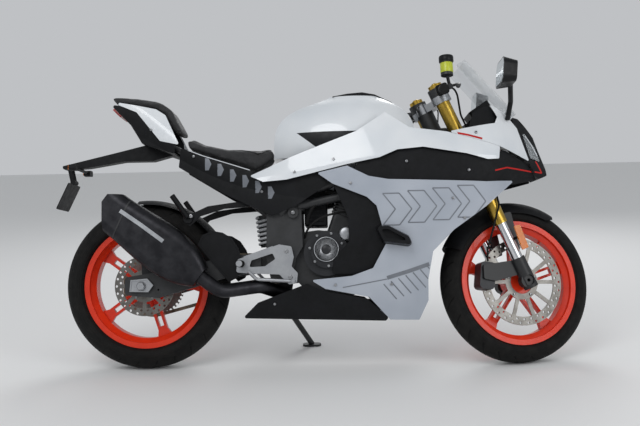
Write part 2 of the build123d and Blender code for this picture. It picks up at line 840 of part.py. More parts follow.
# Rear brake caliper over the top of the disc, with its bracket against the swingarm.
rear_caliper_turn = 70.0
rear_caliper_arm = 92.0
rear_caliper_spot = Vector(rear_x, rear_tyre_radius) + Vector(rear_caliper_arm, 0).rotate(
    Axis.Z, rear_caliper_turn
)
caliper_bracket = [(rear_x - 6, 340), (rear_x + 60, 340), (rear_x + 66, 380), (rear_x - 8, 404)]
with BuildPart() as rear_caliper:
    with BuildSketch(Plane.XZ.offset(rear_disc_line - 18)):
        with Locations(rear_caliper_spot):
            RectangleRounded(44, 76, 12, rotation=rear_caliper_turn)
    extrude(amount=arm_inner - rear_disc_line + 18 - seat_gap)
    with BuildSketch(Plane.XZ.offset(arm_inner - 12)):
        with BuildLine():
            FilletPolyline(*caliper_bracket, radius=6, close=True)
        make_face()
    extrude(amount=12 - seat_gap)
    with BuildSketch(rear_hub.offset(rear_disc_line - rear_disc_thick / 2 - 1.5)):
        Circle(rear_disc_radius + 4)
    extrude(amount=rear_disc_thick + 3, mode=Mode.SUBTRACT)
keep(rear_caliper.part, "rear_caliper")


# Chain: two bands of side plates round both sprockets, with pins on the straight runs.
front_pitch = chain_pitch / 2 / sin(radians(180 / front_teeth))
rear_pitch = chain_pitch / 2 / sin(radians(180 / rear_teeth))
link_half = 6.2
plate_thick = 3.0
plate_inner = 3.4  # from the chain line to a plate's inner face
pin_radius = 3.0
run = hypot(sprocket_x - rear_x, sprocket_z - rear_tyre_radius)
run_slope = atan2(sprocket_z - rear_tyre_radius, sprocket_x - rear_x)
run_spread = asin((rear_pitch - front_pitch) / run)
straight = sqrt(run**2 - (rear_pitch - front_pitch) ** 2)


def chain_face(grow):
    with BuildSketch(Plane.XZ) as face:
        with BuildLine():
            corners = []
            for side in (1, -1):
                tilt = run_slope + side * (radians(90) - run_spread)
                way = Vector(cos(tilt), sin(tilt))
                corners.append(
                    (
                        Vector(rear_x, rear_tyre_radius) + way * (rear_pitch + grow),
                        Vector(sprocket_x, sprocket_z) + way * (front_pitch + grow),
                    )
                )
            back = Vector(-cos(run_slope), -sin(run_slope))
            rear_end = Vector(rear_x, rear_tyre_radius) + back * (rear_pitch + grow)
            front_end = Vector(sprocket_x, sprocket_z) - back * (front_pitch + grow)
            Line(corners[0][0], corners[0][1])
            ThreePointArc(corners[0][1], front_end, corners[1][1])
            Line(corners[1][1], corners[1][0])
            ThreePointArc(corners[1][0], rear_end, corners[0][0])
        make_face()
    return face.sketch


band = chain_face(link_half) - chain_face(-link_half)
with BuildPart() as chain:
    for near in (chain_line + plate_inner, chain_line - plate_inner - plate_thick):
        extrude(Pos(0, near, 0) * band, amount=-plate_thick)
    pin_count = int(straight // chain_pitch)
    for side in (1, -1):
        tilt = run_slope + side * (radians(90) - run_spread)
        way = Vector(cos(tilt), 0, sin(tilt))
        start = rear_axle + way * rear_pitch
        stop = Vector(sprocket_x, 0, sprocket_z) + way * front_pitch
        with BuildSketch(Plane.XZ.offset(-chain_line - plate_inner - plate_thick)):
            for index in range(3, pin_count - 1):
                spot = start + (stop - start) * (index / pin_count)
                with Locations((spot.X, spot.Z)):
                    Circle(pin_radius)
        extrude(amount=2 * (plate_inner + plate_thick))
keep(chain.part, "chain")
keep(sprocket((sprocket_x, sprocket_z), front_teeth, shaft_radius + running), "front_sprocket")

# Radiator between the fairing sides.
with BuildPart() as radiator:
    with BuildSketch(Plane((1018, 0, 420), x_dir=(1, 0, 0.1), z_dir=(-0.1, 0, 1))):
        Rectangle(26, 250)
        with Locations((0, -137), (0, 137)):
            RectangleRounded(34, 26, 6)
    extrude(amount=236)
keep(radiator.part, "radiator")

# Exhaust: two header pipes, the collector under the engine and the pipe to the silencer.
header_radius = 19.0
pipe_radius = 25.0
silencer_origin = Vector(243, -197, 320)
silencer_way = Vector(-0.797, 0, 0.604)
silencer_plane = Plane(silencer_origin, x_dir=(0.604, 0, 0.797), z_dir=silencer_way)
with BuildPart() as exhaust:
    for side in (-1, 1):
        header = [
            block_plane.from_local_coords((block_half + seat_gap, side * 48, port_height)),
            block_plane.from_local_coords((block_half + 90, side * 48, port_height)),
            (972, side * 44, 420),
            (950, side * 30, 262),
            (872, side * 16, 222),
            (800, side * 4, 220),
        ]
        add(bar(header, [40, 90, 50, 60], header_radius))
    collector = [
        (850, 0, 220),
        (600, 0, 220),
        (530, -34, 262),
        (430, -128, 300),
        silencer_origin - silencer_way * 62,
        silencer_origin + silencer_way * 40,
    ]
    add(bar(collector, [120, 80, 70, 60], pipe_radius))
keep(exhaust.part, "exhaust_pipe")

silencer_rows = [
    # along, height, width, corner radius
    (26, 84, 74, 30),
    (96, 150, 92, 34),
    (300, 162, 100, 36),
    (460, 150, 92, 34),
]
silencer_end = -118.0  # x of the upright end
silencer_top = 632.0
silencer_cut = [
    (silencer_end, 300),
    (silencer_end, silencer_top),
    (0, silencer_top),
    (0, 800),
    (-400, 800),
    (-400, 300),
]
with BuildPart() as silencer:
    for along, height, width, corner in silencer_rows:
        with BuildSketch(silencer_plane.offset(along)):
            RectangleRounded(height, width, corner)
    loft()
    with BuildSketch(silencer_plane.offset(24)):
        Circle(pipe_radius + seat_gap)
    extrude(amount=17, mode=Mode.SUBTRACT)
    with BuildSketch(Plane.XZ):
        Polygon(*silencer_cut, align=None)
    extrude(amount=400, mode=Mode.SUBTRACT)
    with BuildSketch(silencer_plane.offset(460)):
        with Locations((-22, 0)):
            Circle(22)
    extrude(amount=-120, mode=Mode.SUBTRACT)
keep(silencer.part, "silencer")

# Shock absorber between the swingarm's bridge and the frame's cross tube.
shock_foot = (455, 407 + shock_eye)
shock_top = (cross_spot[0] - cross_radius - shock_eye - seat_gap, cross_spot[1])
with BuildPart() as shock:
    for x, z in (shock_foot, shock_top):
        with BuildSketch(Plane.XZ.offset(-14)):
            with Locations((x, z)):
                Circle(shock_eye)
        extrude(amount=28)
    add(bar([(shock_foot[0], 0, shock_foot[1]), (shock_top[0], 0, shock_top[1])], 0, 10))
    add(bar([(452, 0, 446), (438, 0, 564)], 0, 30))
keep(shock.part, "shock")

# ---------------------------------------------------------------- bodywork
# Fuel tank: level slices from the base to the crown.
tank_base = 768.0
tank_rows = [
    # height, rear x, rear half width, side x, side half width, front x, front half width
    (tank_base, 478, 62, 740, 150, 1000, 118),
    (840, 482, 70, 740, 166, 1000, 120),
    (905, 505, 64, 745, 150, 988, 98),
    (962, 590, 54, 760, 112, 938, 70),
    (1002, 690, 42, 790, 66, 872, 44),
]
with BuildPart() as tank:
    for height, x0, w0, x1, w1, x2, w2 in tank_rows:
        with BuildSketch(Plane.XY.offset(height)):
            with BuildLine():
                Line((x0, -w0), (x0, w0))
                ThreePointArc((x0, w0), (x1, w1), (x2, w2))
                Line((x2, w2), (x2, -w2))
                ThreePointArc((x2, -w2), (x1, -w1), (x0, -w0))
            make_face()
    loft()
    with BuildSketch(Plane.XZ.offset(-200)):
        Polygon((850, 760), (1020, 760), (1020, 850), align=None)
    extrude(amount=400, mode=Mode.SUBTRACT)
keep(tank.part, "fuel_tank")

# Dark cover along the tank's crown, with a hole for the cap.
cap_spot = (800, 0)
cap_radius = 36.0
cover_half = 52.0
cover_line = [
    (700, 1003),
    (757, 1013),
    (811, 1017),
    (858, 1008),
    (919, 978),
    (979, 934),
    (994, 906),
]
cover_base = [(978, 900), (930, 940), (870, 985), (700, 990)]
with BuildPart() as tank_cover:
    with BuildSketch(Plane.XZ.offset(-cover_half)):
        with BuildLine():
            Polyline(*cover_line, *cover_base, close=True)
        make_face()
    extrude(amount=2 * cover_half)
    add(Pos(0, 0, seat_gap) * tank.part, mode=Mode.SUBTRACT)
    with BuildSketch(Plane.XY.offset(980)):
        with Locations(cap_spot):
            Circle(cap_radius + 5)
    extrude(amount=60, mode=Mode.SUBTRACT)
keep(tank_cover.part.solids().sort_by(SortBy.VOLUME)[-1], "tank_cover")


# Side skin of the fairing and nose: one lofted shape, drawn smaller for what sits inside it.
skin_rows = [
    # x, then height and half width of the top, shoulder, middle and foot
    (350, 712, 148, 655, 162, 478, 160, 150, 102),
    (600, 830, 160, 712, 188, 500, 182, 150, 108),
    (800, 940, 166, 750, 204, 500, 197, 150, 110),
    (1000, 940, 172, 762, 214, 500, 206, 150, 112),
    (1200, 930, 166, 755, 212, 540, 192, 300, 130),
    (1310, 940, 116, 748, 180, 640, 164, 500, 122),
    (1410, 880, 52, 735, 108, 684, 100, 610, 70),
    (1500, 716, 10, 702, 24, 688, 22, 664, 12),
]


def side_skin(rows, inset):
    with BuildPart() as body:
        for x, zt, yt, zs, ys, zm, ym, zf, yf in rows:
            top, shoulder = (yt - inset, zt), (ys - inset, zs)
            middle, foot = (ym - inset, zm), (yf - inset, zf)
            with BuildSketch(Plane.YZ.offset(x)):
                with BuildLine():
                    Line(top, shoulder)
                    ThreePointArc(
                        shoulder,
                        ((shoulder[0] + middle[0]) / 2 + 4, (shoulder[1] + middle[1]) / 2),
                        middle,
                    )
                    ThreePointArc(
                        middle,
                        ((middle[0] + foot[0]) / 2 + 10, (middle[1] + foot[1]) / 2),
                        foot,
                    )
                    Polyline(foot, (-40, zf), (-40, zt), top)
                make_face()
        loft()
    return body.part


def skin_panel(outer, inner, points, radius):
    with BuildPart() as panel:
        with BuildSketch(Plane.XZ.offset(-10)):
            with BuildLine():
                FilletPolyline(*points, radius=radius, close=True)
            make_face()
        extrude(amount=-390)
        add(outer, mode=Mode.INTERSECT)
        add(inner, mode=Mode.SUBTRACT)
    return panel.part


panel_depth = 14.0  # the dark panels sit this far inside the white ones
skin_outer = side_skin(skin_rows, 0)
skin_inner = side_skin(skin_rows, skin_wall)
skin_fit = side_skin(skin_rows, skin_wall + seat_gap)
skin_lining = side_skin(skin_rows, 2 * skin_wall + seat_gap)
skin_clear = side_skin(skin_rows, -seat_gap)
recess_outer = side_skin(skin_rows, panel_depth)
recess_inner = side_skin(skin_rows, panel_depth + skin_wall)

# Side skin of the tail, from the frame back.
tail_rows = [
    (-160, 1014, 64, 980, 82, 900, 70, 740, 20),
    (0, 1004, 84, 955, 104, 850, 96, 700, 50),
    (150, 900, 96, 830, 124, 760, 118, 600, 80),
    (400, 800, 126, 730, 152, 650, 150, 480, 120),
    (710, 790, 150, 705, 166, 600, 164, 440, 130),
]
tail_outer = side_skin(tail_rows, 0)
tail_inner = side_skin(tail_rows, skin_wall)
tail_fit = side_skin(tail_rows, skin_wall + seat_gap)

# Subframe: two rails and a strut on each side, joined across at the tail, with mounts
# that reach out to the side covers and the passenger's hangers.
subframe_tube = 11.0
subframe_strut = 9.0
hanger_inner = 118.0
hanger_bolt = (400, 598.6)
tray_mount = (0, 870)
tray_mount_reach = 89.4
cover_mounts = [
    # x, z, reach from the middle
    (432, 668, 152.6),
    (200, 760, 126.1),
]
mount_radius = 8.0
with BuildPart() as subframe:
    rails = [
        (subframe_tube, ((500, 106.1, 590), (430, 96, 668), (300, 76, 720), (0, 60, 870))),
        (subframe_strut, ((500, 108, 520), (400, 92, 598.6), (150, 68, 795))),
    ]
    for tube, rail in rails:
        for start, end in zip(rail, rail[1:]):
            for side in (1, -1):
                tail_end = Vector(start[0], side * start[1], start[2])
                head_end = Vector(end[0], side * end[1], end[2])
                with BuildSketch(Plane(tail_end, z_dir=head_end - tail_end)):
                    Circle(tube)
                extrude(amount=(head_end - tail_end).length)
                with Locations(tail_end):
                    Sphere(tube + 0.6)
    add(pin(*tray_mount, -tray_mount_reach, tray_mount_reach, 13))
    with BuildSketch(Plane.XZ.offset(-74)):
        Polygon((240, 745), (296, 716), (296, 758), (240, 780), align=None)
    extrude(amount=148)
    with BuildSketch(Plane.XZ.offset(-hanger_inner + seat_gap)):
        with Locations(hanger_bolt):
            Circle(mount_radius)
    extrude(amount=hanger_inner - 92)
    with BuildSketch(Plane.XZ.offset(92)):
        with Locations(hanger_bolt):
            Circle(mount_radius)
    extrude(amount=hanger_inner - seat_gap - 92)
    for x, z, reach in cover_mounts:
        add(both(pin(x, z, 66, reach, mount_radius)))
keep(subframe.part, "subframe")

upper_outline = [
    (398, 694),
    (544, 761),
    (635, 795),
    (784, 850),
    (888, 918),
    (975, 858),
    (1104, 840),
    (1297, 786),
    (1290, 740),
    (1248, 737),
    (1172, 758),
    (1019, 785),
    (928, 777),
    (864, 750),
    (749, 729),
    (640, 704),
    (530, 678),
    (447, 671),
]
lower_outline = [
    (640, 700),
    (748, 723),
    (824, 684),
    (893, 671),
    (1078, 664),
    (1242, 658),
    (1350, 664),
    (1240, 571),
    (1123, 489),
    (1048, 414),
    (1031, 315),
    (1032, 240),
    (1000, 170),
    (896, 172),
    (820, 255),
    (664, 286),
    (612, 318),
    (759, 331),
    (835, 358),
    (884, 448),
    (850, 578),
    (816, 610),
    (696, 660),
]
cowl_outline = [
    (1268, 948),
    (1297, 899),
    (1285, 874),
    (1109, 839.6),
    (1299, 786.1),
    (1416, 738),
    (1377, 863),
    (1330, 915),
]
duct_outline = [
    (770, 704),
    (824, 668),
    (893, 654),
    (1078, 648),
    (1242, 642),
    (1350, 652),
    (1450, 674),
    (1413, 728),
    (1305, 778),
    (1288, 752),
    (1172, 772),
    (1019, 799),
    (928, 791),
    (864, 764),
    (790, 742),
]
# Lips that stand out from the dark panels and meet the back of the white ones.
duct_lips = [
    [(870, 757), (930, 782), (930, 790), (866, 763)],
    [(1030, 790), (1160, 767), (1160, 773), (1030, 797)],
    [(900, 655), (1070, 650), (1070, 658), (900, 664)],
]
inner_lip = [(888, 452), (899, 452), (868, 584), (858, 578)]
inner_outline = [
    (700, 655),
    (748, 545),
    (752, 455),
    (694, 392),
    (690, 340),
    (760, 338),
    (840, 345),
    (900, 448),
    (866, 590),
    (820, 625),
]
keep(both(skin_panel(skin_outer, skin_inner, upper_outline, 4)), "upper_panels")
keep(both(skin_panel(skin_outer, skin_inner, lower_outline, 4)), "lower_fairings")
keep(both(skin_panel(skin_outer, skin_inner, cowl_outline, 4)), "upper_cowls")
with BuildPart() as duct_panel:
    add(skin_panel(recess_outer, recess_inner, duct_outline, 4))
    for lip in duct_lips:
        add(skin_panel(skin_fit, recess_inner, lip, 2))
keep(both(duct_panel.part), "duct_panels")
with BuildPart() as inner_panel:
    add(skin_panel(recess_outer, recess_inner, inner_outline, 4))
    add(skin_panel(skin_fit, recess_inner, inner_lip, 2))
keep(both(inner_panel.part), "inner_panels")

# Nose: the dark centre between the cowls.
nose_outline = [
    (1396, 740),
    (1415, 731),
    (1452.5, 677),
    (1494, 692),
    (1490, 716),
    (1462, 790),
    (1437, 868),
    (1405, 900),
    (1360, 905),
]
with BuildPart() as nose_half:
    with BuildSketch(Plane.XZ):
        with BuildLine():
            FilletPolyline(*nose_outline, radius=4, close=True)
        make_face()
    extrude(amount=-200)
    add(skin_fit, mode=Mode.INTERSECT)
cockpit_outline = [(1186, 846), (1290, 872), (1304, 900), (1272, 944), (1262, 946), (1206, 912)]
cockpit_lip = [(1300, 884), (1306, 900), (1292, 922), (1288, 918)]
with BuildPart() as cockpit_half:
    add(skin_panel(recess_outer, recess_inner, cockpit_outline, 4))
    add(skin_panel(skin_fit, recess_inner, cockpit_lip, 1))
    stay_clear = pin(stay_bar_x, stay_bar_z, -stay_half - 60, 0, stay_cross_radius + seat_gap)
    add(stay_clear, mode=Mode.SUBTRACT)
keep(group(both(nose_half.part), both(cockpit_half.part)), "nose_cowl")
lamp_outline = [(1424, 752), (1466, 742), (1450, 792), (1408, 846), (1400, 842)]
keep(both(skin_panel(skin_outer, skin_inner, lamp_outline, 3)), "headlights")

# Slotted fins that stand off the lower fairing.
winglet_outline = [(847, 502), (872, 450), (971, 436), (958, 466), (889, 503)]
winglet_slot = [(864, 492), (880, 462), (952, 450), (944, 461), (889, 492)]
winglet_out = 240.0
with BuildPart() as winglet:
    with BuildSketch(Plane.XZ.offset(-winglet_out)):
        with BuildLine():
            FilletPolyline(*winglet_outline, radius=8, close=True)
        make_face()
    extrude(amount=90, taper=-8)
    with BuildSketch(Plane.XZ.offset(-winglet_out)):
        with BuildLine():
            FilletPolyline(*winglet_slot, radius=4, close=True)
        make_face()
    extrude(amount=22, mode=Mode.SUBTRACT)
    add(skin_clear, mode=Mode.SUBTRACT)
keep(both(winglet.part.solids().sort_by(Axis.Y)[-1]), "winglets")

# Windscreen: a bent sheet along the line from the nose up and back.
screen_foot = Vector(1392, 0, 930)
screen_head = Vector(1206, 0, 1142)
screen_way = (screen_head - screen_foot).normalized()
screen_plane = Plane(screen_foot, x_dir=(0, 1, 0), z_dir=screen_way)
screen_wall = 3.0
screen_half = 96.0
screen_deep = 62.0


def screen_sheet(grow, below, above):
    half, deep, wall = screen_half + grow, screen_deep, screen_wall + grow
    with BuildPart() as sheet:
        with BuildSketch(screen_plane.offset(-below)):
            with BuildLine():
                ThreePointArc((-half, deep), (0, -grow), (half, deep))
                Line((half, deep), (half - wall - grow, deep))
                ThreePointArc((half - wall - grow, deep), (0, wall), (wall + grow - half, deep))
                Line((wall + grow - half, deep), (-half, deep))
            make_face()
        extrude(amount=below + above)
    return sheet.part


screen_length = (screen_head - screen_foot).length
windscreen = screen_sheet(0, 0, screen_length)
keep(windscreen, "windscreen")

# Fairing stay: an arm from the head tube, a cross bar to the cowls and stubs to the screen.
stub_height = 24.0
with BuildPart() as stay:
    add(bar([(1096, 0, 876), (stay_bar_x, 0, stay_bar_z)], 0, stay_radius))
    add(pin(stay_bar_x, stay_bar_z, -stay_half, stay_half, stay_cross_radius))
    for side in (1, -1):
        stub_end = screen_plane.from_local_coords((side * 82, 42, stub_height))
        add(bar([(stay_bar_x, side * 80, stay_bar_z), stub_end], 0, 6))
    with BuildSketch(steering.offset(head_base - 20)):
        Circle(head_radius + seat_gap)
    extrude(amount=head_top - head_base + 40, mode=Mode.SUBTRACT)
    add(screen_sheet(seat_gap, 20, screen_length), mode=Mode.SUBTRACT)
keep(stay.part, "fairing_stay")

# Instrument panel under the screen.
with BuildPart() as dashboard:
    with BuildSketch(Plane((1240, 0, 952), x_dir=(0, 1, 0), z_dir=(-0.55, 0, 0.83))):
        RectangleRounded(150, 84, 12)
    extrude(amount=-22)
    with BuildSketch(Plane.XY.offset(stay_bar_z + stay_radius + seat_gap)):
        with Locations((1252, 0)):
            Circle(12)
    extrude(amount=46)
keep(dashboard.part, "dashboard")

# Seats.
with BuildPart() as rider_seat:
    with BuildSketch(Plane.XZ.offset(-120)):
        with BuildLine():
            FilletPolyline(
                (152, 852),
                (225, 818),
                (310, 797),
                (433, 799),
                (480.7, 812),
                (479.0, 776),
                (420, 728),
                (300, 762),
                (160, 815),
                radius=8,
                close=True,
            )
        make_face()
    extrude(amount=240)
    with BuildSketch(Plane.XY.offset(700)):
        with BuildLine():
            FilletPolyline(
                (150, -112),
                (300, -118),
                (486, -62),
                (486, 62),
                (300, 118),
                (150, 112),
                radius=20,
                close=True,
            )
        make_face()
    extrude(amount=200, mode=Mode.INTERSECT)
keep(rider_seat.part, "rider_seat")
with BuildPart() as pillion_seat:
    with BuildSketch(Plane.XZ.offset(-88)):
        with BuildLine():
            FilletPolyline(
                (-128, 1006),
                (-31, 1000),
                (52, 986),
                (94, 957),
                (144, 866),
                (118, 868),
                (76, 944),
                (40, 962),
                (-120, 988),
                radius=5,
                close=True,
            )
        make_face()
    extrude(amount=176)
keep(pillion_seat.part, "pillion_seat")

# Tail: white wings outside, the dark cover below and the side covers ahead of them.
wing_outline = [(-137, 996), (45, 959), (80, 936), (136, 820), (62, 838), (-26, 948)]
keep(both(skin_panel(tail_outer, tail_inner, wing_outline, 5)), "tail_wings")
undertray_outline = [
    (-128, 982),
    (-50, 902),
    (-8, 832),
    (118, 788),
    (112, 860),
    (70, 938),
    (38, 954),
]
undertray_hollow = [(-112, 974), (-47, 907), (-4, 837), (150, 782), (150, 852), (66, 932), (36, 947)]
tail_lining = side_skin(tail_rows, 2 * skin_wall + seat_gap)


def tray_half(points, skin, radius):
    with BuildPart() as half:
        with BuildSketch(Plane.XZ):
            with BuildLine():
                FilletPolyline(*points, radius=radius, close=True)
            make_face()
        extrude(amount=-250)
        add(skin, mode=Mode.INTERSECT)
    return half.part


undertray = tray_half(undertray_outline, tail_fit, 6) - tray_half(undertray_hollow, tail_lining, 4)
keep(both(undertray), "tail_cover")
tail_lamp_outline = [(-120.2, 973.6), (-92.2, 944.9), (-98.6, 938.6), (-126.7, 967.3)]
keep(plate(tail_lamp_outline, -54, 108, 2), "tail_light")
side_cover_outline = [
    (142, 808),
    (216, 785),
    (395, 722),
    (447, 678),
    (530, 684),
    (636, 706),
    (692, 670),
    (560, 584),
    (474, 551),
    (301, 635),
    (132, 738),
]
keep(both(skin_panel(tail_outer, tail_inner, side_cover_outline, 6)), "side_covers")

# Plate holder and blank plate behind the tail and the tyre.
plate_back = min(rear_x, 0)
holder_outline = [
    (110, 800),
    (0, 838),
    (-126, 808),
    (plate_back - 326, 762),
    (plate_back - 322, 750),
    (plate_back - 228, 754),
    (-90, 776),
    (20, 776),
]
with BuildPart() as plate_holder:
    with BuildSketch(Plane.XZ.offset(-22)):
        with BuildLine():
            FilletPolyline(*holder_outline, radius=4, close=True)
        make_face()
    extrude(amount=44)
    with BuildSketch(Plane.XZ.offset(-30)):
        with BuildLine():
            FilletPolyline(*undertray_outline, radius=6, close=True)
        make_face()
        offset(amount=seat_gap)
    extrude(amount=60, mode=Mode.SUBTRACT)
    add(bar([(plate_back - 300, 0, 756), (plate_back - 286, 0, 690)], 0, 12))
    add(bar([(plate_back - 286, -20, 700), (plate_back - 286, 20, 700)], 0, 10))
    add(bar([(plate_back - 262, -96, 748), (plate_back - 262, 96, 748)], 0, 6))
    for side in (1, -1):
        with BuildSketch(Plane((plate_back - 274, side * 98, 746), x_dir=(0, 1, 0), z_dir=(1, 0, 0))):
            RectangleRounded(40, 22, 9)
        extrude(amount=26)
    plate_foot = Vector(plate_back - 333, 0, 597)
    plate_top = Vector(plate_back - 287, 0, 694)
    with BuildSketch(Plane((plate_foot + plate_top) / 2, x_dir=(0, 1, 0), z_dir=Vector(97, 0, -46))):
        RectangleRounded(150, (plate_top - plate_foot).length, 8)
    extrude(amount=3)
keep(plate_holder.part, "plate_holder")

# Belly pan.
pan_outline = [(362, 184), (420, 240), (598, 306), (660, 277), (812, 250), (890, 180), (880, 168)]
pan_hollow = [(330, 189), (340, 340), (960, 340), (960, 173)]
belly_pan = tray_half(pan_outline, skin_fit, 6) - tray_half(pan_hollow, skin_lining, 1)
pan_notch = [(440, 196), (440, 345), (556, 345), (556, 196)]
with BuildPart() as whole_pan:
    add(both(belly_pan))
    add(plate(pan_notch, -220, 110, 12), mode=Mode.SUBTRACT)
keep(whole_pan.part, "belly_pan")

# Mirrors on the cowl.
mirror_foot = Vector(1338, -118, 892)
with BuildPart() as right_mirror:
    add(bar([mirror_foot, (1344, -156, 950), (1328, -240, 1000)], 20, 9))
    with BuildSketch(Plane((1282, -296, 1024), x_dir=(0, 1, 0), z_dir=(-1, 0, 0.08))):
        RectangleRounded(150, 92, 28)
    extrude(amount=-48, taper=12)
    mirror(skin_clear, about=Plane.XZ, mode=Mode.SUBTRACT)
keep(both(right_mirror.part), "mirrors")

# Rear-set brackets with a window, a heel plate, the rider's pegs and the foot levers.
rearset_bolts = [(526, 423), (540, 330)]
rearset_outline = [
    (345, 350),
    (350, 396),
    (500, 448),
    (544, 440),
    (552, 402),
    (544, 368),
    (566, 344),
    (562, 308),
    (534, 304),
    (500, 340),
    (384, 346),
]
rearset_window = [(392, 368), (400, 392), (476, 416), (486, 396), (448, 370)]
heel_outline = [(262, 548), (350, 557), (468, 512), (478, 428), (384, 396), (330, 440)]
rearset_inner = 150.0
rearset_thick = 9.0
peg_spot = (365, 380)
pedal_out = rearset_inner + rearset_thick
with BuildPart() as right_rearset:
    add(plate(rearset_outline, rearset_inner, rearset_thick, 8))
    add(plate(rearset_window, rearset_inner - 1, rearset_thick + 2, 5), mode=Mode.SUBTRACT)
    add(plate(heel_outline, rearset_inner, 3, 14))
    for x, z in rearset_bolts:
        add(pin(x, z, frame_outer + seat_gap, rearset_inner, 8))
        add(pin(x, z, rearset_inner, pedal_out + 3, 17))
    add(pin(*peg_spot, pedal_out - 3, 246, 11))
    lever_line = -pedal_out - 3
    add(bar([(390, lever_line, 352), (418, lever_line, 324), (540, lever_line, 316)], 20, 6))
    add(pin(552, 316, pedal_out - 2, 208, 6.5))
keep(both(right_rearset.part), "rearsets")

# Passenger's hangers: a curved arm, a pad at its end and the folding peg.
hanger_outline = [
    (412, 614),
    (330, 604),
    (240, 592),
    (168, 560),
    (150, 536),
    (176, 520),
    (212, 556),
    (300, 582),
    (396, 588),
]
passenger_peg = (168, 548)
with BuildPart() as right_hanger:
    add(plate(hanger_outline, hanger_inner, 10, 6))
    add(pin(*passenger_peg, hanger_inner + 8, hanger_inner + 16, 17))
    add(bar([(168, -hanger_inner - 20, 552), (112, -hanger_inner - 24, 632)], 0, 10))
keep(both(right_hanger.part), "passenger_hangers")

# ---------------------------------------------------------------- lean, steer and stand
# Lowest point of a round-crowned tyre, for a placing of the whole machine.
def tyre_floor(place, centre, axle_way, radius, crown):
    middle = place * Pos(centre)
    tip = place * Pos(centre + axle_way)
    way_z = tip.position.Z - middle.position.Z
    return middle.position.Z - (radius - crown) * sqrt(1 - way_z**2) - crown


# A point turned with the steering.
def turn_point(point, angle):
    rest = Vector(point) - axis_foot
    along = up_axis * rest.dot(up_axis)
    across = rest - along
    side = up_axis.cross(across)
    return axis_foot + along + across * cos(radians(angle)) + side * sin(radians(angle))


turned_centre = turn_point(front_axle, steer)
turned_way = turn_point(front_axle + Vector(0, 1, 0), steer) - turned_centre
pitch = 0.0
lift = 0.0
for _ in range(6):
    stance = (
        Location((-origin_forward, -origin_left, lift))
        * Location((0, 0, 0), (-lean, 0, 0))
        * Location((0, 0, 0), (0, pitch, 0))
    )
    rear_low = tyre_floor(stance, rear_axle, Vector(0, 1, 0), rear_tyre_radius, rear_crown)
    front_low = tyre_floor(stance, turned_centre, turned_way, front_tyre_radius, front_crown)
    lift -= rear_low
    pitch += degrees((front_low - rear_low) / wheelbase)

# Side stand: a leg from the left of the frame to a foot that lies flat on the floor.
floor_here = stance.inverse()
foot_centre = (floor_here * Pos(600 - origin_forward, 297 - origin_left, 0)).position
floor_up = ((floor_here * Pos(0, 0, 1)).position - floor_here.position).normalized()
stand_pivot = Vector(492, 160, 236)
stand_folded = Vector(-250, 28, -34)
stand_leg = foot_centre + floor_up * 7.5 - stand_pivot
stand_axis = stand_leg.cross(stand_folded).normalized()
stand_pin = 6.0
stand_eye = 16.0
stand_eye_half = 12.0
with BuildPart() as side_stand:
    with BuildSketch(Plane(foot_centre, x_dir=Vector(1, 0, 0) - floor_up * floor_up.X, z_dir=floor_up)):
        SlotOverall(74, 40)
    extrude(amount=8)
    with BuildSketch(Plane(stand_pivot, z_dir=stand_leg)):
        Circle(11)
    extrude(amount=stand_leg.length)
    with BuildSketch(Plane(stand_pivot, z_dir=stand_axis).offset(-stand_eye_half)):
        Circle(stand_eye)
    extrude(amount=2 * stand_eye_half)
    with BuildSketch(Plane(stand_pivot, z_dir=stand_axis).offset(-stand_eye)):
        Circle(stand_pin + running)
    extrude(amount=2 * stand_eye, mode=Mode.SUBTRACT)
keep(side_stand.part, "side_stand")

# Stand bracket, pin and head on the frame, and the mounts that hold the fairing.
duct_mount = (930, 740)
duct_mount_reach = 195.1
with BuildPart() as tank_mount:
    with BuildSketch(Plane.XY.offset(tank_base - seat_gap)):
        with Locations((820, 118)):
            Circle(10)
    extrude(amount=-60)
stand_bracket_outline = [(468, 330), (538, 330), (520, 204), (470, 204)]
with BuildPart() as whole_frame:
    add(frame.part)
    add(both(pin(*duct_mount, 120, duct_mount_reach, mount_radius)))
    add(both(tank_mount.part))
    add(both(pin(551, 562, frame_outer - 2, frame_outer + 14, 19)))
    with BuildSketch(Plane.XZ.offset(-frame_outer)):
        with BuildLine():
            FilletPolyline(*stand_bracket_outline, radius=10, close=True)
        make_face()
    extrude(amount=frame_outer - frame_inner)
    with BuildSketch(Plane(stand_pivot, z_dir=stand_axis).offset(-40)):
        Circle(stand_pin)
    extrude(amount=40 + stand_eye_half + running)
    with BuildSketch(Plane(stand_pivot, z_dir=stand_axis).offset(stand_eye_half + running)):
        Circle(stand_pin + 5)
    extrude(amount=5)
keep(whole_frame.part, "frame")

# Fuel cap on the crown of the tank.
with BuildPart() as fuel_cap:
    with BuildSketch(Plane.XY.offset(1002 + running)):
        with Locations(cap_spot):
            Circle(cap_radius)
    extrude(amount=16)
keep(fuel_cap.part, "fuel_cap")

# ---------------------------------------------------------------- placing and writing
for part, label, steered in pieces:
    if steered:
        part = part.rotate(Axis(axis_foot, up_axis), steer)
    part = part.moved(stance)
    part.label = label
    export_step(part, f"parts/{label}.step", write_pcurves=False)
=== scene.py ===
import math
import bmesh
import bpy
from mathutils import Matrix, Vector
from mathutils.bvhtree import BVHTree


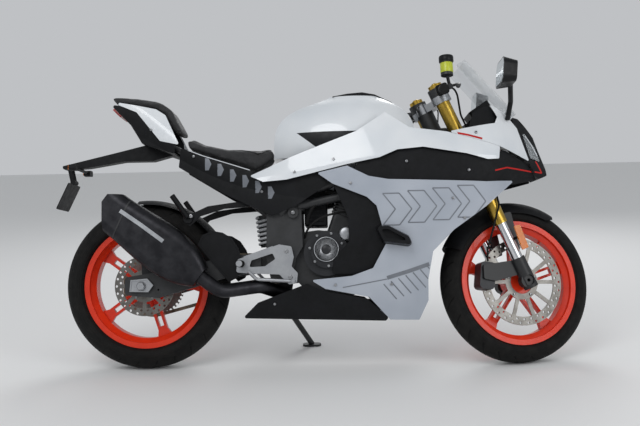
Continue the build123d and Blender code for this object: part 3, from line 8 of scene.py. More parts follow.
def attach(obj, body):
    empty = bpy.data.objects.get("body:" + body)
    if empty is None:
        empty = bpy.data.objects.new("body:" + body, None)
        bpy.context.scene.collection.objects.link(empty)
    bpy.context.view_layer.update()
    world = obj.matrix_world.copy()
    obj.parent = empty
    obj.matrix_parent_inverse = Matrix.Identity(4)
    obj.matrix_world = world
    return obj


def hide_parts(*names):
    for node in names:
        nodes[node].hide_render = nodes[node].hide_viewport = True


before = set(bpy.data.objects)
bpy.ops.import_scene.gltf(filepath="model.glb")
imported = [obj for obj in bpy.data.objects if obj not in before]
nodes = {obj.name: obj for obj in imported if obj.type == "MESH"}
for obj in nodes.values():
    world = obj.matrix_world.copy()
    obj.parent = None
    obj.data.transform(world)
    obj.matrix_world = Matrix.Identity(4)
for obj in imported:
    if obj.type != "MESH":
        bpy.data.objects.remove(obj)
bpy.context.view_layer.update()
scene = bpy.context.scene
print("frame loaded:", len(nodes), "nodes")

# How the machine stands: everything is drawn upright with x forward from the rear axle and y to
# the left, in millimetres, then leaned and lifted to where the frame is.
stance = dict(originForward=661.35, originLeft=177.1, lift=1.21698, lean=10.0, pitch=0.187015)
steering = dict(foot=(1468, 0, 0), rake=24.0, turn=17.4)
standing = (
    Matrix.Translation((-stance["originForward"], -stance["originLeft"], stance["lift"]))
    @ Matrix.Rotation(math.radians(-stance["lean"]), 4, "X")
    @ Matrix.Rotation(math.radians(stance["pitch"]), 4, "Y")
)
rake = math.radians(steering["rake"])
steerAxis = Vector((-math.sin(rake), 0, math.cos(rake)))
steerAhead = Vector((math.cos(rake), 0, math.sin(rake)))
foot = Vector(steering["foot"])
turned = (
    Matrix.Translation(foot)
    @ Matrix.Rotation(math.radians(steering["turn"]), 4, steerAxis)
    @ Matrix.Translation(-foot)
)
millimetres = Matrix.Scale(0.001, 4)
chassisPlace = millimetres @ standing
steeredPlace = millimetres @ standing @ turned
sideNames = {1: "Left", -1: "Right"}
forkLeg = dict(ahead=35.6, apart=98)  # both legs stand this far before and beside the steering axis
frontTyre = dict(body="front_wheel", axle=(1370, 0, 293), halfWidth=55, pitches=26, slant=14.0)
rearTyre = dict(body="rear_wheel", axle=(0, 0, 306), halfWidth=75, pitches=26, slant=-10.0)


def placeOf(body):
    return steeredPlace if body in ("steering", "front_wheel") else chassisPlace


def onSteering(ahead, left, up):
    return foot + steerAhead * ahead + Vector((0, left, 0)) + steerAxis * up


def anglesRound(count, start=0.0):
    return [2 * math.pi * (i + start) / count for i in range(count)]


def colour(hexValue):
    parts = [int(hexValue[i:i + 2], 16) / 255 for i in (1, 3, 5)]
    return tuple(p / 12.92 if p <= 0.04045 else ((p + 0.055) / 1.055) ** 2.4 for p in parts) + (1.0,)


# The kinds of node used most.
maths, vectors, ranged = "ShaderNodeMath", "ShaderNodeVectorMath", "ShaderNodeMapRange"
coords, mixes = "ShaderNodeTexCoord", "ShaderNodeMix"


# A link's source is a socket, or a node whose first output is meant.
def node(tree, kind, settings=None, links=None):
    added = tree.nodes.new(kind)
    for key, value in (settings or {}).items():
        if isinstance(key, str) and hasattr(added, key):
            setattr(added, key, value)
        else:
            added.inputs[key].default_value = value
    for key, source in (links or {}).items():
        first = source.outputs[0] if isinstance(source, bpy.types.Node) else source
        tree.links.new(first, added.inputs[key])
    return added


def surface(name, base, rough, metal=0.0, extras=None):
    mat = bpy.data.materials.new(name)
    mat.use_nodes = True
    mat.node_tree.nodes.clear()
    shader = node(mat.node_tree, "ShaderNodeBsdfPrincipled",
                  {"Base Color": colour(base), "Roughness": rough, "Metallic": metal, **(extras or {})})
    node(mat.node_tree, "ShaderNodeOutputMaterial", links={"Surface": shader})
    mat.diffuse_color = colour(base)
    return mat, mat.node_tree, shader


# A cloudy pattern on the object; scale is its patches in a metre.
def noisy(tree, scale, detail=4.0, stretch=(1, 1, 1)):
    place = node(tree, coords).outputs["Object"]
    moved = node(tree, "ShaderNodeMapping", {"Scale": stretch}, {"Vector": place})
    return node(tree, "ShaderNodeTexNoise", {"Scale": scale, "Detail": detail, "Roughness": 0.6},
                {"Vector": moved}).outputs["Fac"]


def blendColours(tree, pattern, first, second, low=0.35, high=0.65):
    share = node(tree, ranged, {"From Min": low, "From Max": high}, {"Value": pattern})
    return node(tree, mixes, {"data_type": "RGBA", 6: colour(first), 7: colour(second)},
                {0: share}).outputs[2]


# Colour in two tones and roughness between two values, each following its own pattern.
def weathered(tree, shader, patches, base, worn, pattern, low, high):
    tree.links.new(blendColours(tree, patches, base, worn), shader.inputs["Base Color"])
    rough = node(tree, ranged, {"From Min": 0.3, "From Max": 0.7, "To Min": low, "To Max": high},
                 {"Value": pattern})
    tree.links.new(rough.outputs[0], shader.inputs["Roughness"])


def bumped(tree, shader, height, depth, strength=1.0):
    bump = node(tree, "ShaderNodeBump", {"Distance": depth, "Strength": strength}, {"Height": height})
    tree.links.new(bump.outputs[0], shader.inputs["Normal"])


# Two-coat pearl lacquer: mica under a hard clear coat, a faint change of tone across a panel.
def pearlLacquer(name, base, deeper):
    mat, tree, shader = surface(name, base, 0.32, 0.0,
                                {"Coat Weight": 0.8, "Coat Roughness": 0.05, "Specular IOR Level": 0.5})
    weathered(tree, shader, noisy(tree, 5.0, 2.0), base, deeper, noisy(tree, 900.0), 0.26, 0.4)
    bumped(tree, shader, noisy(tree, 220.0, 2.0), 0.00006)
    return mat


# Moulded ABS with spark-eroded grain, drawn a little coarser than the real 0.2 mm so that it shows.
def mouldedPlastic(name, base, worn, rough=0.55, grain=1500.0):
    mat, tree, shader = surface(name, base, rough, 0.0, {"Specular IOR Level": 0.2})
    weathered(tree, shader, noisy(tree, 16.0), base, worn, noisy(tree, 60.0), rough - 0.08, rough + 0.12)
    bumped(tree, shader, noisy(tree, grain, 2.0), 0.00018, 0.7)
    return mat


# Metals: a cast, brushed, plated or painted skin, told apart by its grain's size and direction.
def metalSkin(name, base, worn, rough, grain=400.0, stretch=(1, 1, 1), depth=0.00012, metal=1.0, extras=None):
    mat, tree, shader = surface(name, base, rough, metal, extras)
    weathered(tree, shader, noisy(tree, 24.0), base, worn,
              noisy(tree, grain, 3.0, stretch), rough - 0.07, rough + 0.1)
    bumped(tree, shader, noisy(tree, grain, 3.0, stretch), depth, 0.6)
    return mat


whiteLacquer = pearlLacquer("pearlWhiteLacquer", "#dfe2e5", "#d2d7dc")
greyLacquer = pearlLacquer("pearlSilverLacquer", "#acb2bc", "#9ea5b0")
blackAbs = mouldedPlastic("blackGrainedAbs", "#0c0d0f", "#121316")
satinAbs = mouldedPlastic("satinBlackAbs", "#101113", "#16171a", 0.36, 600.0)
orangeEnamel = metalSkin("orangeWheelEnamel", "#e0330f", "#d42d0c", 0.36, 260.0, depth=0.00005, metal=0.0,
                         extras={"Coat Weight": 0.25, "Coat Roughness": 0.12, "Specular IOR Level": 0.35})
goldAnodised = metalSkin("goldAnodisedAluminium", "#c2a24b", "#b0903c", 0.3, 300.0, (1, 1, 0.15), 0.00003)
castAluminium = metalSkin("sandCastAluminium", "#b1b3b6", "#a6a8ac", 0.38, 900.0)
brushedAluminium = metalSkin("brushedAluminium", "#b9bcc0", "#a6a9ad", 0.33, 200.0, (12, 1, 1), 0.00005)
groundSteel = metalSkin("groundDiscSteel", "#85837f", "#6d6a66", 0.34, 900.0, depth=0.00006)
magnesiumPaint = metalSkin("paintedMagnesium", "#2c2d30", "#232427", 0.4, 600.0, depth=0.0001, metal=0.4)
chainSteel = metalSkin("oiledChainSteel", "#8b8172", "#5d564b", 0.38, 500.0, depth=0.0001)
darkSteel = metalSkin("darkBrushedSteel", "#3b3b3e", "#2c2c2f", 0.4, 260.0, (1, 14, 1), 0.00005)
satinSteel = metalSkin("satinBlackSteel", "#1d1e20", "#2a2b2d", 0.45, 500.0, metal=0.0)
boltSteel = metalSkin("zincBoltSteel", "#b4b5b7", "#8f9092", 0.3, 900.0, depth=0.00004)
mirrorGlass = metalSkin("silveredGlass", "#dfe6ea", "#d8e0e5", 0.04, 300.0, depth=0.000002)
gripRubber = mouldedPlastic("gripRubber", "#151515", "#1d1d1d", 0.8, 500.0)
redTape = mouldedPlastic("redTape", "#c02420", "#b01e1a", 0.35, 300.0)
greyTape = mouldedPlastic("greyTape", "#7b7f86", "#71757c", 0.35, 300.0)
paleTape = mouldedPlastic("paleTape", "#c9ccd0", "#bfc2c6", 0.35, 300.0)
blackTape = mouldedPlastic("blackTape", "#17181b", "#1f2023", 0.35, 300.0)
blankPlate = mouldedPlastic("blankPlateEnamel", "#d9dadb", "#cfd0d2", 0.4, 300.0)
paleEnamel = mouldedPlastic("paleSpringEnamel", "#c8cacd", "#bcbec2", 0.35, 400.0)
dialFace = mouldedPlastic("dialFace", "#0c0d10", "#121317", 0.2, 300.0)


# Tyre rubber: dull black, dusty in the wear band, with the grooves cut as hollows and painted near black as
# shade. The tread is worked out in the wheel's own frame, so it turns with the wheel.
def treadRubber(name, tyre):
    mat, tree, shader = surface(name, "#0e0e0e", 0.78, 0.0, {"Specular IOR Level": 0.2})
    radius, half = tyre["axle"][2] / 1000, tyre["halfWidth"] / 1000
    hub = placeOf(tyre["body"]) @ Matrix.Translation(tyre["axle"])
    turnBack = hub.to_3x3().normalized().inverted().to_euler()
    place = node(tree, coords).outputs["Object"]
    shift = node(tree, vectors, {"operation": "SUBTRACT", 1: hub.to_translation()}, {0: place})
    local = node(tree, "ShaderNodeMapping", {"vector_type": "POINT", "Rotation": turnBack},
                 {"Vector": shift})
    xyz = node(tree, "ShaderNodeSeparateXYZ", links={0: local})
    # slanted grooves, repeated round the tyre
    angle = node(tree, maths, {"operation": "ARCTAN2"}, {0: xyz.outputs[2], 1: xyz})
    perTurn = tyre["pitches"] / (2 * math.pi)
    steps = node(tree, maths, {"operation": "MULTIPLY", 1: perTurn}, {0: angle})
    side = node(tree, maths, {"operation": "ABSOLUTE"}, {0: xyz.outputs[1]})
    lean = node(tree, maths, {"operation": "MULTIPLY", 1: tyre["slant"]}, {0: side})
    swept = node(tree, maths, {"operation": "ADD"}, {0: steps, 1: lean})
    part = node(tree, maths, {"operation": "FRACT"}, {0: swept})
    away = node(tree, maths, {"operation": "SUBTRACT", 1: 0.5}, {0: part})
    near = node(tree, maths, {"operation": "ABSOLUTE"}, {0: away})
    groove = node(tree, ranged, {"From Min": 0.035, "From Max": 0.055, "To Min": 1, "To Max": 0},
                  {"Value": near})
    # no groove down the middle band or past the shoulder
    bandLow = node(tree, ranged, {"From Min": 0.12 * half, "From Max": 0.16 * half}, {"Value": side})
    bandHigh = node(tree, ranged, {"From Min": 0.80 * half, "From Max": 0.84 * half, "To Min": 1,
                                   "To Max": 0}, {"Value": side})
    band = node(tree, maths, {"operation": "MULTIPLY"}, {0: bandLow, 1: bandHigh})
    onPlane = node(tree, "ShaderNodeCombineXYZ", links={0: xyz, 1: xyz.outputs[2]})
    flat = node(tree, vectors, {"operation": "LENGTH"}, {0: onPlane}).outputs["Value"]
    crown = node(tree, ranged, {"From Min": radius - 0.036, "From Max": radius - 0.033}, {"Value": flat})
    banded = node(tree, maths, {"operation": "MULTIPLY"}, {0: groove, 1: band})
    cut = node(tree, maths, {"operation": "MULTIPLY"}, {0: banded, 1: crown})
    # fine rings on the side wall
    waves = node(tree, maths, {"operation": "MULTIPLY", 1: 900.0}, {0: flat})
    ring = node(tree, maths, {"operation": "SINE"}, {0: waves})
    wall = node(tree, maths, {"operation": "SUBTRACT", 0: 1.0}, {1: crown})
    rib = node(tree, maths, {"operation": "MULTIPLY"}, {0: ring, 1: wall})
    dust = blendColours(tree, noisy(tree, 40.0), "#0f0f0f", "#1a1918")
    # painted shade: the grooves are coloured near black, as if shaded in their hollows, over the dusty black
    # elsewhere
    grooveShade = node(tree, mixes, {"data_type": "RGBA", 7: colour("#060606")}, {0: cut, 6: dust})
    tree.links.new(grooveShade.outputs[2], shader.inputs["Base Color"])
    low = node(tree, maths, {"operation": "MULTIPLY", 1: -1.0}, {0: cut})
    ribbed = node(tree, maths, {"operation": "MULTIPLY_ADD", 1: 0.12}, {0: rib, 2: low})
    grain = node(tree, maths, {"operation": "MULTIPLY_ADD", 1: 0.06},
                 {0: noisy(tree, 900.0), 2: ribbed})
    bumped(tree, shader, grain, 0.003, 0.8)
    return mat


# Fork legs: hard chrome on the sliding tube alone; the lug, stays and axle's ends are black castings.
def chromeToLug(name, leg):
    mat, tree, shader = surface(name, leg["chrome"], 0.12, 1.0)
    turn = placeOf("steering").to_3x3().normalized()
    start = placeOf("steering") @ onSteering(forkLeg["ahead"], 0, leg["lugTop"])
    place = node(tree, coords).outputs["Object"]
    shift = node(tree, vectors, {"operation": "SUBTRACT", 1: start}, {0: place})
    along, left, ahead = (node(tree, vectors, {"operation": "DOT_PRODUCT", 1: turn @ way},
                               {0: shift}).outputs["Value"]
                          for way in (steerAxis, Vector((0, 1, 0)), steerAhead))
    beside = node(tree, maths, {"operation": "ABSOLUTE"}, {0: left})
    off = node(tree, maths, {"operation": "SUBTRACT", 1: forkLeg["apart"] / 1000}, {0: beside})
    spot = node(tree, "ShaderNodeCombineXYZ", links={0: off, 1: ahead})
    away = node(tree, vectors, {"operation": "LENGTH"}, {0: spot})
    above = node(tree, ranged, {"From Min": 0.0, "From Max": 0.0005}, {"Value": along})
    inside = node(tree, ranged, {"From Min": leg["radius"] - 0.0002, "From Max": leg["radius"] + 0.0002,
                                 "To Min": 1, "To Max": 0}, {"Value": away.outputs["Value"]})
    bright = node(tree, maths, {"operation": "MULTIPLY"}, {0: above, 1: inside})
    tones = {"data_type": "RGBA", 6: colour(leg["casting"]), 7: colour(leg["chrome"])}
    mixed = node(tree, mixes, tones, {0: bright})
    tree.links.new(mixed.outputs[2], shader.inputs["Base Color"])
    tree.links.new(bright.outputs[0], shader.inputs["Metallic"])
    plain = node(tree, ranged, {"To Min": 0.42, "To Max": 0.1}, {"Value": bright})
    smears = node(tree, ranged, {"From Min": 0.3, "From Max": 0.7, "To Min": 0.0, "To Max": 0.06},
                  {"Value": noisy(tree, 400.0)})
    rough = node(tree, maths, {"operation": "ADD"}, {0: plain, 1: smears})
    tree.links.new(rough.outputs[0], shader.inputs["Roughness"])
    bumped(tree, shader, noisy(tree, 500.0), 0.00004, 0.4)
    return mat


# Grained vinyl: pebbles of about 2 mm between fine creases, with a faint sheen.
def grainedVinyl(name, base, worn):
    mat, tree, shader = surface(name, base, 0.62, 0.0, {"Sheen Weight": 0.15, "Sheen Roughness": 0.5})
    place = node(tree, coords).outputs["Object"]
    cells = node(tree, "ShaderNodeTexVoronoi", {"feature": "DISTANCE_TO_EDGE", "Scale": 420.0},
                 {"Vector": place})
    creases = node(tree, ranged, {"From Max": 0.25}, {"Value": cells.outputs["Distance"]})
    weathered(tree, shader, noisy(tree, 20.0), base, worn, noisy(tree, 90.0), 0.5, 0.72)
    bumped(tree, shader, creases, 0.0005, 0.8)
    return mat


# Clear mouldings: polycarbonate screens and lamp glasses, lightly smoked or dyed.
def clearMoulding(name, base, rough, alpha, transmission):
    mat, tree, shader = surface(name, base, rough, 0.0,
                                {"Transmission Weight": transmission, "IOR": 1.49, "Alpha": alpha})
    bumped(tree, shader, noisy(tree, 60.0, 1.0), 0.00004)
    return mat


# Radiator core: flat tubes with folded fins between them, seen as fine ridges 4 mm apart, with painted
# shade near black between the fins and a painted highlight in lighter grey on their crests.
def finnedCore(name, base, worn):
    mat, tree, shader = surface(name, base, 0.5, 0.3)
    place = node(tree, coords).outputs["Object"]
    fins = node(tree, "ShaderNodeTexWave", {"bands_direction": "Y", "Scale": 78.0}, {"Vector": place})
    rows = node(tree, "ShaderNodeTexWave", {"bands_direction": "Z", "Scale": 22.0}, {"Vector": place})
    height = node(tree, maths, {"operation": "MULTIPLY"},
                  {0: fins.outputs["Fac"], 1: rows.outputs["Fac"]})
    # painted shade and highlight: the colour follows the fins' height, the first colour in the gaps and the
    # second on the crests
    tree.links.new(blendColours(tree, height, base, worn, 0.1, 0.6), shader.inputs["Base Color"])
    bumped(tree, shader, height, 0.0015, 0.8)
    return mat


frontTyreRubber = treadRubber("frontTyreRubber", frontTyre)
rearTyreRubber = treadRubber("rearTyreRubber", rearTyre)
legMetal = chromeToLug("chromeAndBlackLug", dict(chrome="#d5d7da", casting="#1b1c1e", lugTop=392.0,
                                                 radius=0.021))
seatVinyl = grainedVinyl("grainedSeatVinyl", "#1a1a1c", "#252527")
smokedScreen = clearMoulding("smokedPolycarbonate", "#c3ccd2", 0.03, 0.24, 0.85)
lampGlass = clearMoulding("lampPolycarbonate", "#dfe6ea", 0.03, 0.5, 0.7)
redLens = clearMoulding("redAcrylic", "#b01a16", 0.15, 1.0, 0.25)
amberLens = clearMoulding("amberAcrylic", "#d9760f", 0.2, 1.0, 0.2)
limeFluid = clearMoulding("limeReservoir", "#c6cf3a", 0.25, 1.0, 0.15)
# black core with painted shade between the fins; the lighter grey is the painted highlight on their crests
coreAluminium = finnedCore("blackRadiatorCore", "#1a1b1d", "#4a4b4e")
print("materials made")

finishes = {
    whiteLacquer: ["upper_panels", "upper_cowls", "tail_wings", "fuel_tank"],
    greyLacquer: ["lower_fairings"],
    blackAbs: ["belly_pan", "duct_panels", "inner_panels", "side_covers", "tail_cover", "nose_cowl",
               "tank_cover", "front_fender", "plate_holder", "rear_hugger", "dashboard", "passenger_hangers"],
    satinAbs: ["mirrors", "winglets", "bar_controls"],
    orangeEnamel: ["front_rim", "rear_rim"],
    goldAnodised: ["fork_outer_tubes"],
    castAluminium: ["fork_yokes", "rearsets"],
    magnesiumPaint: ["engine_covers", "front_caliper", "rear_caliper"],
    brushedAluminium: ["fuel_cap"],
    groundSteel: ["front_disc", "rear_disc", "rear_sprocket", "front_sprocket"],
    chainSteel: ["chain"],
    darkSteel: ["silencer", "exhaust_pipe"],
    satinSteel: ["frame", "subframe", "engine", "swingarm", "shock", "handlebars", "levers", "side_stand",
                 "fairing_stay"],
    gripRubber: ["grips", "brake_hoses"],
    legMetal: ["fork_inner_tubes"],
    coreAluminium: ["radiator"],
    smokedScreen: ["windscreen"],
    lampGlass: ["headlights"],
    redLens: ["tail_light"],
    amberLens: ["reflectors"],
    seatVinyl: ["rider_seat", "pillion_seat"],
    frontTyreRubber: ["front_tyre"],
    rearTyreRubber: ["rear_tyre"],
}
for mat, names in finishes.items():
    for name in names:
        for slot in nodes[name].material_slots:
            slot.material = mat
print("frame finished")


def placed(name, data):
    thing = bpy.data.objects.new(name, data)
    scene.collection.objects.link(thing)
    return thing


def addPiece(name, mesh, mat, body, standsFor=()):
    mesh.materials.clear()
    mesh.materials.append(mat)
    piece = placed(name, mesh)
    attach(piece, body)
    for nodeName in standsFor:
        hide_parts(nodeName)
    return piece


# What a helper object comes to with its modifiers; the helper itself goes.
def bakedMesh(holder):
    bpy.context.view_layer.update()
    mesh = bpy.data.meshes.new_from_object(holder.evaluated_get(bpy.context.evaluated_depsgraph_get()))
    bpy.data.objects.remove(holder)
    return mesh


def thicken(piece, thick):
    solid = piece.modifiers.new("thickness", "SOLIDIFY")
    solid.thickness = thick / 1000
    solid.offset = 1.0


def meshOf(bm, place=Matrix.Identity(4), smooth=False):
    bmesh.ops.transform(bm, matrix=place, verts=bm.verts)
    mesh = bpy.data.meshes.new("piece")
    bm.to_mesh(mesh)
    bm.free()
    for face in mesh.polygons:
        face.use_smooth = smooth
    return mesh


# Closed shell through rings of points, given in order and all of one count.
def shellMesh(rings, place):
    bm = bmesh.new()
    loops = [[bm.verts.new(point) for point in ring] for ring in rings]
    for low, high in zip(loops, loops[1:]):
        for i in range(len(low)):
            j = (i + 1) % len(low)
            bm.faces.new([low[i], low[j], high[j], high[i]])
    bm.faces.new(loops[0][::-1])
    bm.faces.new(loops[-1])
    bmesh.ops.recalc_face_normals(bm, faces=bm.faces)
    return meshOf(bm, place, True)


def latheMesh(profile, place=Matrix.Identity(4), sides=48):
    return shellMesh([[(radius * math.cos(t), radius * math.sin(t), height) for t in anglesRound(sides)]
                      for radius, height in profile], place)


def facingPlace(body, origin, direction):
    turn = Vector(direction).to_track_quat("Z", "Y").to_matrix().to_4x4()
    return placeOf(body) @ Matrix.Translation(Vector(origin)) @ turn


# Closed tube of even thickness along a list of points.
def tubeMesh(points, radius, place, sides=12):
    rings = []
    across = Vector((0, 0, 1))
    for i, point in enumerate(points):
        ahead = (Vector(points[min(i + 1, len(points) - 1)]) - Vector(points[max(i - 1, 0)])).normalized()
        if abs(across.dot(ahead)) < 0.99:
            across = (across - ahead * across.dot(ahead)).normalized()
        else:
            across = ahead.orthogonal().normalized()
        other = ahead.cross(across)
        rings.append([Vector(point) + (across * math.cos(t) + other * math.sin(t)) * radius
                      for t in anglesRound(sides)])
    return shellMesh(rings, place)


def roundedCorners(width, height, corner, step, count):
    outline = []
    for cx, cy, start in ((1, 1, 0), (-1, 1, 90), (-1, -1, 180), (1, -1, 270)):
        for i in range(count):
            t = math.radians(start + step * i)
            outline.append((cx * (width / 2 - corner) + corner * math.cos(t),
                            cy * (height / 2 - corner) + corner * math.sin(t)))
    return outline


def treeOf(names):
    points, faces = [], []
    for name in names:
        mesh = nodes[name].data if name in nodes else bpy.data.objects[name].data
        start = len(points)
        points += [v.co.copy() for v in mesh.vertices]
        faces += [[start + i for i in p.vertices] for p in mesh.polygons]
    return BVHTree.FromPolygons(points, faces)


# Tape laid on a panel: flat outlines, cut fine, dropped along one direction onto the faces they meet
# and given a real thickness. bothSides() looks at the machine from its right and left, sheet() from
# anywhere. Its sizes are in millimetres.
tape = dict(thick=0.35, step=9.0, reach=420.0, lift=0.12, cuts=7, steepest=3)


def bothSides(outlines):
    return [((0, s * tape["reach"], 0), (1, 0, 0), (0, 0, 1), (0, -s, 0), outlines) for s in (1, -1)]


def sheet(origin, across, up, outlines):
    return [(origin, across, up, -Vector(across).cross(Vector(up)), outlines)]


def layTape(name, panels, sheets, mat, thick=tape["thick"], step=tape["step"]):
    tree = treeOf(panels)
    turn = chassisPlace.to_3x3().normalized()
    bm = bmesh.new()
    for origin, across, up, way, outlines in sheets:
        inward = (turn @ Vector(way)).normalized()
        for outline in outlines:
            cut = bmesh.new()
            spots = [Vector(origin) + Vector(across) * a + Vector(up) * b for a, b in outline]
            face = cut.faces.new([cut.verts.new(p) for p in spots])
            bmesh.ops.triangulate(cut, faces=[face])
            for _ in range(tape["cuts"]):
                longEdges = [e for e in cut.edges if e.calc_length() > step]
                if not longEdges:
                    break
                bmesh.ops.subdivide_edges(cut, edges=longEdges, cuts=1)
                bmesh.ops.triangulate(cut, faces=[f for f in cut.faces if len(f.verts) > 3])
            lost = []
            for v in cut.verts:
                hit = tree.ray_cast(chassisPlace @ v.co, inward, tape["reach"] / 1000)
                if hit[0] is None:
                    lost.append(v)
                else:
                    v.co = hit[0] - inward * tape["lift"] / 1000
            bmesh.ops.delete(cut, geom=lost, context="VERTS")
            steep = [f for f in cut.faces
                     if max(e.calc_length() for e in f.edges) > tape["steepest"] * step / 1000]
            bmesh.ops.delete(cut, geom=steep, context="FACES")
            cut.normal_update()
            for f in cut.faces:
                if f.normal.dot(inward) > 0:
                    f.normal_flip()
            mesh = bpy.data.meshes.new("cut")
            cut.to_mesh(mesh)
            cut.free()
            bm.from_mesh(mesh)
            bpy.data.meshes.remove(mesh)
    bmesh.ops.delete(bm, geom=[v for v in bm.verts if not v.link_faces], context="VERTS")
    thicken(addPiece(name, meshOf(bm), mat, "chassis"), thick)


def ribbon(points, width):
    left, right = [], []
    for i, (x, z) in enumerate(points):
        x0, z0 = points[max(i - 1, 0)]
        x1, z1 = points[min(i + 1, len(points) - 1)]
        away = Vector((z0 - z1, x1 - x0)).normalized() * width / 2
        left.append((x + away.x, z + away.y))
        right.append((x - away.x, z - away.y))
    return left + right[::-1]


# Row of outlined arrowheads on the lower fairing.
arrows = dict(start=(872, 508), step=(88, 8), width=58, high=112, point=44, line=4.5, count=4)
outlineBars = []
for i in range(arrows["count"]):
    x = arrows["start"][0] + i * arrows["step"][0]
    z = arrows["start"][1] + i * arrows["step"][1]
    w, h, tip = arrows["width"], arrows["high"], arrows["point"]
    corners = [(x, z), (x + w, z), (x + w + tip, z + h / 2), (x + w, z + h), (x, z + h), (x + tip, z + h / 2)]
    outlineBars += [ribbon([a, b], arrows["line"]) for a, b in zip(corners, corners[1:] + corners[:1])]
layTape("fairingArrows", ["lower_fairings"], bothSides(outlineBars), greyTape)

# Slanted hatch lines low on the fairing, under its grey band.
hatch = dict(start=(872, 300), step=(26, 10), rise=-54.0, run=46.0, width=4.5, count=7)
hatchBars = []
for i in range(hatch["count"]):
    x = hatch["start"][0] + i * hatch["step"][0]
    z = hatch["start"][1] + i * hatch["step"][1]
    hatchBars.append(ribbon([(x, z), (x + hatch["run"], z + hatch["rise"])], hatch["width"]))
layTape("fairingHatch", ["lower_fairings"], bothSides(hatchBars), greyTape)

# Chevrons down the side cover.
chevrons = dict(start=(232, 745), step=(46, -22), size=(24, 44), count=6, shoulder=0.55, notch=0.45)
chevronBars = []
for i in range(chevrons["count"]):
    x = chevrons["start"][0] + i * chevrons["step"][0]
    z = chevrons["start"][1] + i * chevrons["step"][1]
    w, h = chevrons["size"]
    shoulder, notch = x + w * chevrons["shoulder"], x + w * chevrons["notch"]
    chevronBars.append([(x, z - h / 2), (shoulder, z - h / 2), (x + w, z), (shoulder, z + h / 2),
                        (x, z + h / 2), (notch, z)])
layTape("coverChevrons", ["side_covers"], bothSides(chevronBars), greyTape)

# Plain stripes on both sides, the tank's dark blade and, on the silencer's outer side alone, a
# bright shield strip and the end cap's seam.
stripes = [
    # name, panels, paths with their widths, material
    ("lowerBand", ["lower_fairings"], [([(726, 290), (800, 303), (884, 318)], 4),
                                       ([(884, 322), (962, 345), (1034, 369)], 14)], greyTape),
    ("coverLine", ["side_covers"], [([(165, 800), (225, 776), (330, 741), (428, 708)], 3)], paleTape),
    ("cowlDash", ["upper_cowls", "upper_panels"], [([(1140, 834), (1180, 826), (1232, 812)], 7)], redTape),
    ("noseLine", ["duct_panels", "nose_cowl", "upper_cowls"],
     [([(1277, 699), (1323, 711), (1420, 703), (1470, 700)], 5), ([(1470, 700), (1446, 742)], 6)], redTape),
    ("runningLights", ["headlights"], [([(1410, 838), (1434, 806), (1456, 764)], 5)], paleTape),
]
for name, panels, paths, mat in stripes:
    layTape(name, panels, bothSides([ribbon(path, width) for path, width in paths]), mat)
tankBlade = [(567, 856), (790, 853), (637, 800)]
layTape("tankBlade", ["fuel_tank"], bothSides([tankBlade]), blackTape)
shield = dict(path=[(-52, 572), (20, 522), (100, 462)], width=14, thick=1.5)
layTape("silencerShield", ["silencer"], bothSides([ribbon(shield["path"], shield["width"])])[1:],
        brushedAluminium, thick=shield["thick"])
capSeam = dict(path=[(-20, 608), (-84, 470)], width=5, thick=1.2)
layTape("silencerSeam", ["silencer"], bothSides([ribbon(capSeam["path"], capSeam["width"])])[1:],
        satinSteel, thick=capSeam["thick"])

# Instruments: a dark glass with a scale round an arc.
dash = dict(origin=(1240, 0, 952), up=(0.83, 0, 0.55), above=40, half=(64, 33), glassThick=0.8)
dial = dict(middle=(-24, -6), inner=24, outer=(30, 29), squash=0.9, ticks=15, start=200, step=15.7,
            width=1.6, thick=1.3)
normal = Vector((-dash["up"][2], 0, dash["up"][0]))
dashStart = Vector(dash["origin"]) + normal * dash["above"]
w, h = dash["half"]
dashGlass = [(-w, -h), (w, -h), (w, h), (-w, h)]
ticks = []
for i in range(dial["ticks"]):
    t = math.radians(dial["start"] - i * dial["step"])
    ends = [(dial["middle"][0] + r * math.cos(t) * dial["squash"], dial["middle"][1] + r * math.sin(t))
            for r in (dial["inner"], dial["outer"][i % 2])]
    ticks.append(ribbon(ends, dial["width"]))
for name, outlines, mat, thick in (("dashGlass", [dashGlass], dialFace, dash["glassThick"]),
                                   ("dashScale", ticks, paleTape, dial["thick"])):
    layTape(name, ["dashboard"], sheet(dashStart, (0, -1, 0), dash["up"], outlines), mat, thick=thick)

# Mirror glasses with round corners, and the lenses of the lamps on the plate's arm.
glass = dict(middle=(1240, 296, 1026), width=138, height=80, corner=24, thick=0.9)
lens = dict(middle=(-300, 98, 746), half=(17, 8), thick=2.5)
glassOutline = roundedCorners(glass["width"], glass["height"], glass["corner"], 18, 6)
w, h = lens["half"]
glassSheets, lensSheets = [], []
for s in (1, -1):
    x, y, z = glass["middle"]
    glassSheets += sheet((x, -s * y, z), (0, -1, 0), (0, 0, 1), [glassOutline])
    x, y, z = lens["middle"]
    lensSheets += sheet((x, s * y, z), (0, -1, 0), (0, 0, 1), [[(-w, -h), (w, -h), (w, h), (-w, h)]])
layTape("mirrorGlass", ["mirrors"], glassSheets, mirrorGlass, thick=glass["thick"])
layTape("indicatorLenses", ["plate_holder"], lensSheets, amberLens, thick=lens["thick"])
print("tape laid")


# Bolts and screws: domed socket heads scattered on listed points by one node tree. The head's
# profile is radius and height, from the socket's middle to the rim, for a head of radius 1.
boltHead = dict(profile=[(0.42, 0.35), (0.5, 1.0), (0.86, 0.95), (1.0, 0.75), (1.0, 0.0)], sides=24)


def headMesh():
    bm = bmesh.new()
    loops = [[bm.verts.new((radius * math.cos(t), radius * math.sin(t), height))
              for t in anglesRound(boltHead["sides"])] for radius, height in boltHead["profile"]]
    middle = bm.verts.new((0, 0, boltHead["profile"][0][1]))
    for i in range(boltHead["sides"]):
        j = (i + 1) % boltHead["sides"]
        bm.faces.new([middle, loops[0][i], loops[0][j]])
        for inner, outer in zip(loops, loops[1:]):
            bm.faces.new([inner[i], outer[i], outer[j], inner[j]])
    bmesh.ops.recalc_face_normals(bm, faces=bm.faces)
    return meshOf(bm)


